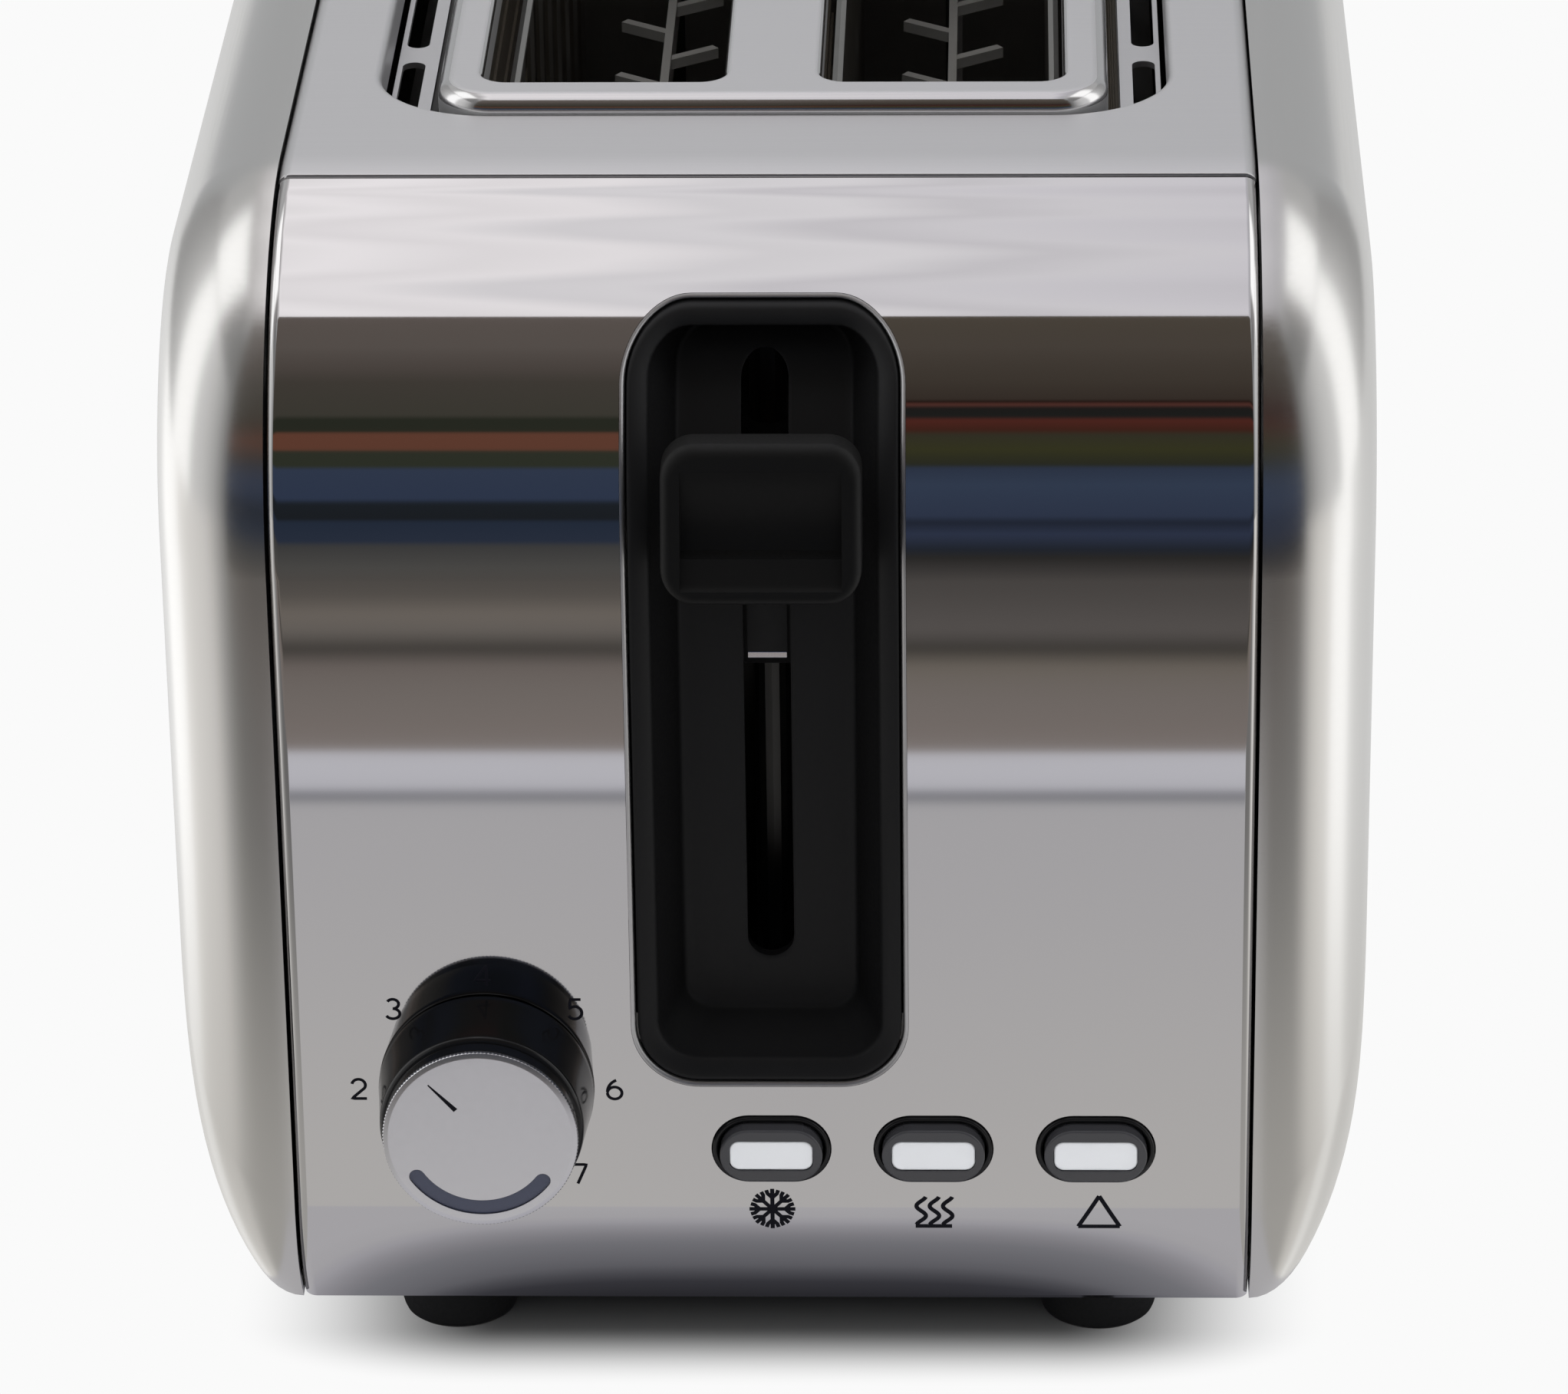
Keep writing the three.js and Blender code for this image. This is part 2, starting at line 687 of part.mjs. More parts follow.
function carriageBracket() {
  const y0 = carriageFace;
  const face = box(-carriageWidth / 2, carriageWidth / 2, y0, y0 + carriageSheet, flangeHeight - carriageSheet, carriageTop);
  const tongue = box(-tongueWidth / 2, tongueWidth / 2, leverKnobBack - tongueReach + seatGap,
    y0 + carriageSheet / 2, tongueBottom, tongueTop - joinOverlap);
  const shelf = box(-slotCentreX - rackBarWidth * 2, slotCentreX + rackBarWidth * 2, y0, chassisFront - carriageFlange,
    flangeHeight - carriageSheet, flangeHeight);
  const collars = [flangeHeight, carriageTop - collarHeight].map((z) => join([
    post(0, guideRodDepth, z - carriageSheet / 2, z + collarHeight, collarRadius),
    box(-collarRadius / 2, collarRadius / 2, y0, guideRodDepth, z, z + collarHeight),
  ]));
  const bore = post(0, guideRodDepth, 0, topHeight, guideRodRadius + seatGap);
  return cut(join([face, tongue, shelf, ...collars]), [bore]);
}

function armaturePlate() {
  const half = magnetWidth / 2;
  const z1 = flangeHeight - carriageSheet - seatGap;
  return box(magnetX - half, magnetX + half, magnetDepth - magnetCoreThickness / 2,
    magnetDepth + magnetCoreThickness / 2, z1 - armatureThickness, z1);
}

// Bread rack: a bar on edge with fingers that alternate left and right

function breadRack(x) {
  const top = rackRestHeight + rackBarHeight / 2;
  const bottom = rackRestHeight - rackBarHeight / 2;
  const start = carriageFace + carriageSheet + cutOverrun;
  const end = chassisBack + chassisSheet + cutOverrun;
  const half = rackBarWidth / 2;
  const front = box(x - half, x + half, start, chassisFront - carriageFlange + seatGap * 2, flangeHeight + seatGap,
    flangeHeight + seatGap + rackBarHeight);
  const neck = box(x - half, x + half, chassisFront - carriageFlange + seatGap, slotFront,
    bottom, flangeHeight + seatGap + rackBarHeight);
  const bar = box(x - half, x + half, slotFront - cutOverrun, end, bottom, top);
  const count = Math.floor(slotLength / rackFingerPitch);
  const reach = rackFingerReach / Math.cos(rackFingerAngle);
  const fingers = [];
  for (let i = 0; i < count; i += 1) {
    const side = i % 2 ? 1 : -1;
    const finger = new THREE.BoxGeometry(reach, rackFingerWidth, rackFingerWidth);
    finger.translate(reach / 2, 0, 0);
    finger.rotateZ(rackFingerAngle);
    if (side < 0) finger.rotateY(Math.PI);
    finger.translate(x, slotFront + rackFingerPitch * (i + 0.5), top - rackFingerWidth);
    fingers.push(toSolid(finger));
  }
  return join([front, neck, bar, ...fingers]);
}

// Bread guard: two rails along the slot and upright wires between them

function breadGuard(x) {
  const start = slotFront + runningGap;
  const end = slotBack - runningGap;
  const r = guardWire / 2;
  const rails = [pin(x, guardHinge, chassisFront - chassisSheet, chassisBack + chassisSheet, guardRail / 2, 8),
    pin(x, guardTop, start, end, guardRail / 2, 6)];
  const count = Math.round((end - start) / guardPitch);
  const wires = [];
  for (let i = 0; i <= count; i += 1) {
    const y = start + guardRail + (end - start - guardRail * 2) * i / count;
    wires.push(post(x, y, guardHinge, guardTop, r, 5));
  }
  return join([...rails, ...wires]);
}

const guardInset = guardRail / 2 + runningGap;
const guardXs = {
  outer: slotCentreX + slotWidth / 2 - guardInset,
  inner: slotCentreX - slotWidth / 2 + guardInset,
};

// Chassis end plates, reflectors and heater boards

const chassisPegDepth = chassisFront + chassisFoot / 2;

function chassisPlate() {
  const y0 = chassisFront;
  const y1 = y0 + chassisSheet;
  const half = reflectorX - seatGap;
  const sheet = box(-half, half, y0, y1, chassisBottom, chassisTop);
  const slotsLow = rackRestHeight - leverTravel - rackBarHeight;
  const slotsHigh = rackRestHeight + leverLift + rackBarHeight * 3;
  const rackSlots = [-slotCentreX, slotCentreX].map((x) => box(x - rackBarWidth, x + rackBarWidth,
    y0 - cutOverrun, y1 + cutOverrun, slotsLow, slotsHigh));
  const hinges = [-1, 1].flatMap((side) => [guardXs.inner, guardXs.outer].map((x) => pin(
    side * x, guardHinge, y0 - cutOverrun, y1 + cutOverrun, guardRail / 2 + seatGap, 8)));
  const foot = box(-half, half, y0, y0 + chassisFoot, chassisBottom, chassisBottom + chassisSheet);
  const screwHoles = [-chassisPegX, chassisPegX].map((x) => post(x, chassisPegDepth, chassisBottom - cutOverrun,
    chassisBottom + cutOverrun, screwShankRadius + seatGap, 8));
  return cut(sheet.add(foot), [...rackSlots, ...hinges, ...screwHoles]);
}

// The front plate also has a shelf that holds the guide rod's top and the spring's upper end.
function chassisFrontPlate() {
  const low = guideRodTop + seatGap;
  const shelf = box(springX - springCoilRadius * 2, collarRadius * 2, guideRodDepth - collarRadius / 2,
    chassisFront + chassisSheet / 2, low, low + chassisSheet);
  return chassisPlate().add(shelf);
}

function reflector() {
  const x = reflectorX;
  const lean = reflectorLean;
  const out = x + chassisSheet;
  return drawnAlong([
    [x, chassisBottom], [out, chassisBottom], [out, chassisTop - lean],
    [out - lean, chassisTop], [x - lean, chassisTop], [x, chassisTop - lean],
  ], behindFrontPlate, beforeRearPlate);
}

function heaterBoard(x) {
  const half = boardThickness / 2;
  const out = half + ribbonThickness;
  const top = boardBottom + boardHeight;
  const count = Math.floor(boardHeight / ribbonPitch);
  const right = [];
  for (let i = 0; i < count; i += 1) {
    const z = boardBottom + ribbonPitch * (i + 0.5);
    right.push([half, z - ribbonWidth / 2], [out, z - ribbonWidth / 2], [out, z + ribbonWidth / 2], [half, z + ribbonWidth / 2]);
  }
  const left = right.map(([a, z]) => [-a, z]).reverse();
  const outline = [[half, boardBottom], ...right, [half, top], [-half, top], ...left, [-half, boardBottom]];
  const points = outline.map(([a, z]) => [x + a, z]);
  return drawnAlong(points, behindFrontPlate, beforeRearPlate);
}

// Browning dial

function dialBody() {
  const back = -seatGap;
  const capBack = -dialProud + dialCapHeight;
  const inside = back - dialRecess;
  const wall = dialBaseRadius - dialBackWall;
  const profile = [
    [0, inside], [wall, inside], [wall, back], [dialBaseRadius, back],
    [dialBaseRadius, back - dialChamfer], [dialTopRadius, capBack + seatGap], [0, capBack + seatGap],
  ].map(([r, y]) => new THREE.Vector2(r, y));
  const geometry = new THREE.LatheGeometry(profile.reverse(), 32);
  geometry.translate(dialX, 0, dialHeight);
  const hub = pin(dialX, dialHeight, inside - joinOverlap, back, dialShaftRadius * 2);
  const bore = pin(dialX, dialHeight, capBack + seatGap + dialBackWall, cutOverrun, dialShaftRadius + seatGap);
  return toSolid(geometry).add(hub).subtract(bore);
}

function dialCap() {
  const capBack = -dialProud + dialCapHeight;
  const chamfer = dialChamfer;
  const shape = new THREE.Shape();
  for (let i = 0; i < dialKnurlCount * 2; i += 1) {
    const radius = dialCapRadius - (i % 2 ? dialKnurlDepth : 0);
    const angle = Math.PI * i / dialKnurlCount;
    const move = i ? 'lineTo' : 'moveTo';
    shape[move](radius * Math.cos(angle), radius * Math.sin(angle));
  }
  const skirt = new THREE.ExtrudeGeometry(shape, { depth: dialCapHeight - chamfer, bevelEnabled: false });
  skirt.rotateX(Math.PI / 2);
  skirt.translate(dialX, capBack, dialHeight);
  const face = new THREE.CylinderGeometry(dialCapRadius - chamfer, dialCapRadius - dialKnurlDepth, chamfer, 48);
  face.rotateX(Math.PI);
  face.translate(dialX, -dialProud + chamfer / 2, dialHeight);
  const groove = new THREE.Shape();
  groove.absarc(0, 0, dialGrooveRadius + dialGrooveWidth / 2, dialGrooveStart, dialGrooveEnd, false);
  groove.absarc(0, 0, dialGrooveRadius - dialGrooveWidth / 2, dialGrooveEnd, dialGrooveStart, true);
  const grooveCut = new THREE.ExtrudeGeometry(groove, { depth: dialGrooveDepth * 2, bevelEnabled: false, curveSegments: 12 });
  grooveCut.rotateX(Math.PI / 2);
  grooveCut.translate(dialX, -dialProud + dialGrooveDepth, dialHeight);
  const pointerLength = dialPointerOuter - dialPointerInner;
  const pointer = new THREE.BoxGeometry(pointerLength, dialGrooveDepth, dialPointerWidth);
  pointer.translate((dialPointerOuter + dialPointerInner) / 2, 0, 0);
  pointer.rotateY(-dialPointerAngle);
  pointer.translate(dialX, -dialProud, dialHeight);
  return cut(toSolid(skirt).add(toSolid(face)), [toSolid(grooveCut), toSolid(pointer)]);
}

function dialShaft() {
  const capBack = -dialProud + dialCapHeight;
  const start = capBack + dialBackWall + seatGap * 2;
  return pin(dialX, dialHeight, start, controlBoardDepth - potDepth + potSocket, dialShaftRadius);
}

// Buttons

function buttonBezel(x) {
  const outer = upright(x, buttonHeight, buttonWidth / 2 - seatGap, buttonTall / 2 - seatGap, buttonTall / 2,
    -bezelProud, panelSheet * 3, buttonSteps);
  const flange = upright(x, buttonHeight, buttonWidth / 2 + bezelWall, buttonTall / 2 + bezelWall,
    buttonTall / 2 + bezelWall, panelSheet + seatGap, panelSheet * 3, buttonSteps);
  const hole = upright(x, buttonHeight, buttonWidth / 2 - bezelWall - seatGap, buttonTall / 2 - bezelWall - seatGap,
    buttonTall / 2, -cutOverrun, cutOverrun * 2, buttonSteps);
  return outer.add(flange).subtract(hole);
}

const buttonHalfX = buttonWidth / 2 - bezelWall - seatGap * 2;
const buttonHalfZ = buttonTall / 2 - bezelWall - seatGap * 2;
const lensHalfX = buttonHalfX - buttonFrameEnd;
const lensHalfZ = buttonHalfZ - buttonFrameWall;

function buttonFrame(x) {
  const chamfer = buttonChamfer;
  const face = upright(x, buttonHeight, buttonHalfX - chamfer, buttonHalfZ - chamfer, buttonHalfZ,
    -buttonProud, buttonBodyDepth, buttonSteps);
  const body = upright(x, buttonHeight, buttonHalfX, buttonHalfZ, buttonHalfZ,
    -buttonProud + chamfer, buttonBodyDepth, buttonSteps);
  const window = upright(x, buttonHeight, lensHalfX + seatGap, lensHalfZ + seatGap, lensCorner + seatGap,
    -cutOverrun, buttonBodyDepth - buttonFloor, smallSteps);
  const stem = pin(x, buttonHeight, buttonBodyDepth - buttonFloor / 2,
    controlBoardDepth - switchDepth - buttonTravel - seatGap, buttonStemRadius, 10);
  return face.add(body).subtract(window).add(stem);
}

function buttonLens(x) {
  return upright(x, buttonHeight, lensHalfX, lensHalfZ, lensCorner, -buttonProud + lensRecess,
    buttonBodyDepth - buttonFloor - seatGap, smallSteps);
}

function tactSwitch(x) {
  const half = switchSize / 2;
  const front = controlBoardDepth - switchDepth + switchStem;
  const body = box(x - half, x + half, front, controlBoardDepth - seatGap, buttonHeight - half, buttonHeight + half);
  const stem = pin(x, buttonHeight, front - switchStem, front + joinOverlap, switchStemRadius, 10);
  return body.add(stem);
}

// Control board, potentiometer and magnet

function controlBoard() {
  const y1 = controlBoardDepth + controlBoardThickness;
  const half = controlBoardWidth / 2;
  const main = box(-half, half, controlBoardDepth, y1, controlBoardBottom, controlBoardTop);
  const wing = box(-half, dialX + potWidth, controlBoardDepth, y1, controlBoardTop - joinOverlap, dialWingTop);
  return main.add(wing);
}

function potentiometer() {
  const half = potWidth / 2;
  const y0 = controlBoardDepth - potDepth;
  const body = box(dialX - half, dialX + half, y0, controlBoardDepth - seatGap, dialHeight - half, dialHeight + half);
  const bush = pin(dialX, dialHeight, y0 - potBush, y0 + joinOverlap, dialShaftRadius + potBushWall);
  const bore = pin(dialX, dialHeight, y0 - cutOverrun * 2, y0 + potSocket + seatGap, dialShaftRadius + seatGap);
  return body.add(bush).subtract(bore);
}

const springBottom = flangeHeight + seatGap;
const springHeight = guideRodTop - springBottom;
const magnetTop = flangeHeight - carriageSheet - seatGap * 2 - armatureThickness - leverTravel;

function magnetCore() {
  const half = magnetWidth / 2;
  const y0 = magnetDepth - magnetCoreThickness / 2;
  const y1 = magnetDepth + magnetCoreThickness / 2;
  const bottom = magnetTop - magnetHeight;
  const legs = [-half, half - magnetPole].map((x) => box(magnetX + x, magnetX + x + magnetPole, y0, y1, bottom, magnetTop));
  const yoke = box(magnetX - half, magnetX + half, y0, y1, bottom, bottom + magnetPole);
  return join([yoke, ...legs]);
}

function magnetCoil() {
  const x = magnetX + magnetWidth / 2 - magnetPole / 2;
  const inner = magnetPole / 2 + seatGap;
  const outer = inner + coilWall;
  const depthInner = magnetCoreThickness / 2 + seatGap;
  const depthOuter = depthInner + coilWall;
  const z0 = magnetTop - magnetHeight + magnetPole + seatGap;
  const z1 = magnetTop - coilWall;
  const outside = slab(x, magnetDepth, outer, depthOuter, coilWall, z0, z1, 3);
  return outside.subtract(box(x - inner, x + inner, magnetDepth - depthInner, magnetDepth + depthInner,
    z0 - cutOverrun, z1 + cutOverrun));
}

// Return spring: one wire wound round a vertical axis, with straight ends

function springPoints() {
  const points = [];
  const z0 = springBottom + springWire / 2;
  const rise = springHeight - springWire;
  for (let i = 0; i <= springTurns * stepsPerTurn; i += 1) {
    const turn = i / stepsPerTurn;
    const angle = turn * Math.PI * 2;
    points.push(new THREE.Vector3(
      springX + springCoilRadius * Math.cos(angle), springDepth + springCoilRadius * Math.sin(angle),
      z0 + rise * turn / springTurns));
  }
  return points;
}

// The least distance between the wire's surfaces, over points that lie most of a turn apart.
function leastGap(points) {
  const apart = Math.ceil(stepsPerTurn * 0.75);
  let least = Infinity;
  points.forEach((p, i) => {
    for (let k = i + apart; k < points.length; k += 1) least = Math.min(least, p.distanceTo(points[k]));
  });
  return least - springWire;
}

function returnSpring() {
  const points = springPoints();
  const radius = springWire / 2;
  console.log(`return_spring: least gap to itself ${leastGap(points).toFixed(2)} mm`);
  const positions = [];
  points.forEach((p, i) => {
    const angle = i / stepsPerTurn * Math.PI * 2;
    const outward = new THREE.Vector3(Math.cos(angle), Math.sin(angle), 0);
    for (let k = 0; k < wireSides; k += 1) {
      const turn = k / wireSides * Math.PI * 2;
      positions.push(...p.clone()
        .addScaledVector(outward, radius * Math.cos(turn))
        .add(new THREE.Vector3(0, 0, radius * Math.sin(turn))).toArray());
    }
  });
  const faces = [];
  for (let i = 0; i + 1 < points.length; i += 1) {
    for (let k = 0; k < wireSides; k += 1) {
      const a = i * wireSides + k;
      const b = i * wireSides + (k + 1) % wireSides;
      faces.push(a, b + wireSides, b, a, a + wireSides, b + wireSides);
    }
  }
  const last = (points.length - 1) * wireSides;
  for (let k = 1; k + 1 < wireSides; k += 1) {
    faces.push(0, k, k + 1, last, last + k + 1, last + k);
  }
  const geometry = new THREE.BufferGeometry();
  geometry.setAttribute('position', new THREE.Float32BufferAttribute(positions, 3));
  geometry.setIndex(faces);
  return geometry;
}

// Base pan, crumb tray, feet, screws, gland

const baseTop = undersideHeight + baseFloor;
const baseCut = undersideHeight + baseWallHeight + cutOverrun;
const screwPlaces = [
  [-chassisPegX, chassisPegDepth],
  [chassisPegX, chassisPegDepth],
  [-chassisPegX, bodyLength - chassisPegDepth],
  [chassisPegX, bodyLength - chassisPegDepth],
];
const baseHalf = panelEdgeX - baseInset;
const baseFront = tuckRun + panelSheet * 2 + baseInset;

function basePan() {
  const halfY = midDepth - baseFront;
  const block = slab(0, midDepth, baseHalf, halfY, baseWall * 2, undersideHeight, undersideHeight + baseWallHeight);
  const hollow = slab(0, midDepth, baseHalf - baseWall, halfY - baseWall, baseWall, baseTop, baseCut);
  const mouth = box(-trayMouthHalf, trayMouthHalf, midDepth, bodyLength + cutOverrun, trayMouthBottom, baseCut);
  const runnerX = trayWidth / 2 - runnerInset;
  const runners = [-runnerX, runnerX].map((x) => box(x - runnerWidth / 2, x + runnerWidth / 2,
    trayFront, bodyLength - baseFront - baseWall / 2, baseTop - baseFloor / 2, trayHeight - seatGap));
  const rodBoss = post(0, guideRodDepth, baseTop - joinOverlap, baseTop + rodBossHeight, guideRodRadius + rodBossWall);
  const rodBore = post(0, guideRodDepth, baseTop + seatGap, topHeight, guideRodRadius + seatGap);
  const pegHalf = chassisPegSize / 2;
  const pegs = screwPlaces.map(([x, y]) => box(x - pegHalf, x + pegHalf, y - pegHalf, y + pegHalf,
    baseTop - baseFloor / 2, chassisBottom - seatGap));
  const screwBores = screwPlaces.map(([x, y]) => post(x, y, undersideHeight - cutOverrun,
    chassisBottom + cutOverrun, screwShankRadius + seatGap, 8));
  const magnetSeat = box(magnetX - magnetWidth / 2, magnetX + magnetWidth / 2, magnetDepth - magnetCoreThickness / 2,
    magnetDepth + magnetCoreThickness / 2, baseTop - joinOverlap, magnetTop - magnetHeight - seatGap);
  const postX = controlBoardWidth / 2 - boardPostInset;
  const postHalf = boardPostSize / 2;
  const boardPosts = [-postX, postX].map((x) => box(x - postHalf, x + postHalf, controlBoardDepth - postHalf / 2,
    controlBoardDepth + postHalf, baseTop - joinOverlap, controlBoardBottom - seatGap));
  const solid = cut(block, [hollow, mouth]);
  return cut(join([solid, ...runners, rodBoss, ...pegs, magnetSeat, ...boardPosts]), [rodBore, ...screwBores]);
}

// A slotted pan-head screw, driven up through the base into the chassis foot
function baseScrew(x, y) {
  const headTop = undersideHeight - seatGap;
  const head = post(x, y, headTop - screwHeadHeight, headTop, screwHeadRadius - screwSlotWidth, 12, screwHeadRadius);
  const shank = post(x, y, headTop - screwHeadHeight / 2, chassisBottom + chassisSheet * 2, screwShankRadius, 8);
  const slot = box(x - screwHeadRadius, x + screwHeadRadius, y - screwSlotWidth / 2, y + screwSlotWidth / 2,
    headTop - screwHeadHeight - cutOverrun, headTop - screwHeadHeight / 2);
  return head.add(shank).subtract(slot);
}

function crumbTray() {
  const half = trayWidth / 2;
  const back = bodyLength - trayLipThickness;
  const tub = box(-half, half, trayFront, back, trayHeight, trayHeight + trayWall);
  const hollow = box(-half + trayFloor, half - trayFloor, trayFront + trayFloor, back - trayFloor,
    trayHeight + trayFloor, trayHeight + trayWall + cutOverrun);
  const lip = box(-trayMouthHalf + seatGap, trayMouthHalf - seatGap, back - joinOverlap, bodyLength + joinOverlap,
    trayMouthBottom + seatGap - trayLipDrop, trayMouthTop - seatGap);
  const pull = box(-trayPullWidth / 2, trayPullWidth / 2, bodyLength, rearMost,
    trayMouthTop - trayPullThickness, trayMouthTop - seatGap);
  return join([tub.subtract(hollow), lip, pull]);
}

function foot(x, y) {
  const profile = [
    [0, 0], [footBottomRadius - footChamfer, 0], [footBottomRadius, footChamfer],
    [footTopRadius, footHeight - footShoulder],
    [footTopRadius, footHeight], [0, footHeight],
  ].map(([r, z]) => new THREE.Vector2(r, z));
  const geometry = new THREE.LatheGeometry(profile, 18);
  geometry.rotateX(Math.PI / 2);
  geometry.translate(x, y, 0);
  return toSolid(geometry);
}

function cordGland() {
  const y1 = bodyLength;
  const flange = pin(glandX, glandHeight, y1 + seatGap, y1 + seatGap + glandFlange, glandRadius, 20);
  const neck = pin(glandX, glandHeight, y1 - glandDepth, y1 + seatGap + joinOverlap, glandRadius - glandFlange - seatGap, 20);
  const bore = pin(glandX, glandHeight, y1 - glandDepth - cutOverrun, y1 + cutOverrun * 2, glandBore, 16);
  return flange.add(neck).subtract(bore);
}

function guideRod() {
  return post(0, guideRodDepth, baseTop + seatGap * 2, guideRodTop, guideRodRadius);
}

// Materials

const material = (color, roughness, metalness) => new THREE.MeshStandardMaterial({ color, roughness, metalness });
const brushedSteel = () => material('#b9b9b7', 0.4, 1);
const polishedSteel = () => material('#c4c4c6', 0.12, 1);
const satinSteel = () => material('#b4b4b6', 0.45, 1);
const platedSteel = () => material('#9a9a98', 0.35, 1);
const blackPlastic = () => material('#161616', 0.45, 0);
const greyPlastic = () => material('#3d3f42', 0.4, 0);
const whitePlastic = () => material('#dcdcdc', 0.35, 0);
const mica = () => material('#a89a7c', 0.7, 0);
const circuitBoard = () => material('#2f5a3a', 0.6, 0);
const copper = () => material('#9a5a30', 0.4, 1);
const rubber = () => material('#1a1a1a', 0.8, 0);

// Assembly

const toaster = new THREE.Group();
toaster.position.set(0, -originDepth, 0);

function place(name, solid, finish, parent = toaster) {
  const geometry = solid.isBufferGeometry ? solid : toGeometry(solid);
  const mesh = new THREE.Mesh(geometry, finish);
  mesh.name = name;
  parent.add(mesh);
}

const casing = sideCasing();
place('right_side_casing', casing, brushedSteel());
place('left_side_casing', mirrorX(casing), brushedSteel());
place('front_panel', frontPanel(), polishedSteel());
place('top_panel', topPanel(), satinSteel());
place('rear_panel', rearPanel(), polishedSteel());
place('slot_plate', slotPlate(), polishedSteel());
place('vent_strip_right', ventStrip(), platedSteel());
place('vent_strip_left', mirrorX(ventStrip()), platedSteel());
place('lever_well', leverWell(), blackPlastic());
place('base_pan', basePan(), blackPlastic());
place('chassis_front_plate', chassisFrontPlate(), platedSteel());
place('chassis_rear_plate', endForEnd(chassisPlate()), platedSteel());
place('reflector_right', reflector(), platedSteel());
place('reflector_left', mirrorX(reflector()), platedSteel());

const outerBoardX = reflectorX - reflectorGap / 2;
place('heater_outer_left', heaterBoard(-outerBoardX), mica());
place('heater_middle_left', heaterBoard(-middleBoardGap), mica());
place('heater_middle_right', heaterBoard(middleBoardGap), mica());
place('heater_outer_right', heaterBoard(outerBoardX), mica());

place('guard_left_outer', breadGuard(-guardXs.outer), platedSteel());
place('guard_left_inner', breadGuard(-guardXs.inner), platedSteel());
place('guard_right_inner', breadGuard(guardXs.inner), platedSteel());
place('guard_right_outer', breadGuard(guardXs.outer), platedSteel());

place('lever_knob', leverKnob(), blackPlastic());
place('carriage_bracket', carriageBracket(), platedSteel());
place('armature_plate', armaturePlate(), platedSteel());
place('bread_rack_left', breadRack(-slotCentreX), platedSteel());
place('bread_rack_right', breadRack(slotCentreX), platedSteel());
place('guide_rod', guideRod(), platedSteel());
place('return_spring', returnSpring(), platedSteel());
place('magnet_core', magnetCore(), platedSteel());
place('magnet_coil', magnetCoil(), copper());

place('dial_body', dialBody(), blackPlastic());
place('dial_cap', dialCap(), brushedSteel());
place('dial_shaft', dialShaft(), platedSteel());
place('potentiometer', potentiometer(), blackPlastic());
place('control_board', controlBoard(), circuitBoard());

const buttonNames = ['defrost', 'reheat', 'cancel'];
buttonNames.forEach((name, i) => {
  place(`bezel_${name}`, buttonBezel(buttonXs[i]), blackPlastic());
  place(`button_${name}`, buttonFrame(buttonXs[i]), greyPlastic());
  place(`lens_${name}`, buttonLens(buttonXs[i]), whitePlastic());
  place(`switch_${name}`, tactSwitch(buttonXs[i]), blackPlastic());
});

place('crumb_tray', crumbTray(), platedSteel());
screwPlaces.forEach(([x, y], i) => place(`base_screw_${i + 1}`, baseScrew(x, y), platedSteel()));
place('cord_gland', cordGland(), blackPlastic());
place('foot_front_left', foot(-footX, footFront), rubber());
place('foot_front_right', foot(footX, footFront), rubber());
place('foot_rear_left', foot(-footX, bodyLength - footFront), rubber());
place('foot_rear_right', foot(footX, bodyLength - footFront), rubber());

export default toaster;
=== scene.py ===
"""Looks of a long-slot toaster: polished panels, brushed casings, a lever well, a dial and three buttons.

Lengths are in metres in the frame's axes: +Z up, -Y towards the controls, +X to the right of them.
"""

import json
import logging
import math
from dataclasses import dataclass, field
from enum import Enum
from typing import Callable, Iterable, Sequence

import bmesh
import bpy
from mathutils import Matrix, Vector


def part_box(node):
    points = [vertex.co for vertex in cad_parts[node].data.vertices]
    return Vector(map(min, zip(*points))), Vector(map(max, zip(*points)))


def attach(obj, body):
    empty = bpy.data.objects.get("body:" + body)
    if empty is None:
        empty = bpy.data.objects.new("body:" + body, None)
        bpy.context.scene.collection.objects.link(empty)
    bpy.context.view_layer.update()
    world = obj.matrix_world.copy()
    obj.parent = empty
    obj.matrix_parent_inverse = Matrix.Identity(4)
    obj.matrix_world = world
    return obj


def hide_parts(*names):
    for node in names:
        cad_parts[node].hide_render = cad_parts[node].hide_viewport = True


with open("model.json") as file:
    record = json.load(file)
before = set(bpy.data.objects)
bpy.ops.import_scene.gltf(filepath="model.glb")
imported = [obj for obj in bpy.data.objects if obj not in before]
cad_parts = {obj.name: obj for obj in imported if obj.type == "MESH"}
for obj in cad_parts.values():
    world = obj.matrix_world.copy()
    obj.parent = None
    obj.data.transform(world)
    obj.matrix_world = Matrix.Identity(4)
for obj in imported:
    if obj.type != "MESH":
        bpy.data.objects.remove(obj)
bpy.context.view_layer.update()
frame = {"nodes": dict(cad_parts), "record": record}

log = logging.getLogger("toaster")

MM = 0.001
DEGREE = math.pi / 180
QUARTER = 90 * DEGREE
MERGE = 1e-6
SIDES = (("left", -1), ("right", 1))
BUTTONS = ("defrost", "reheat", "cancel")

Point = tuple[float, float, float]
Ring = list[Point]
Outline = list[tuple[float, float]]
Stops = Sequence[tuple[float, str]]


def linear(hex_colour: str) -> tuple[float, float, float, float]:
    """Turns an sRGB hex colour into linear RGBA."""
    text = hex_colour.lstrip("#")
    values = [int(text[i:i + 2], 16) / 255 for i in (0, 2, 4)]
    return (*[v / 12.92 if v <= 0.04045 else ((v + 0.055) / 1.055) ** 2.4 for v in values], 1.0)


def corner(node: str) -> tuple[Vector, Vector]:
    """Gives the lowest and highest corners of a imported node."""
    low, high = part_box(node)
    return Vector(low), Vector(high)


def centre_of(node: str) -> Vector:
    """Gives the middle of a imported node's box."""
    low, high = corner(node)
    return (low + high) / 2


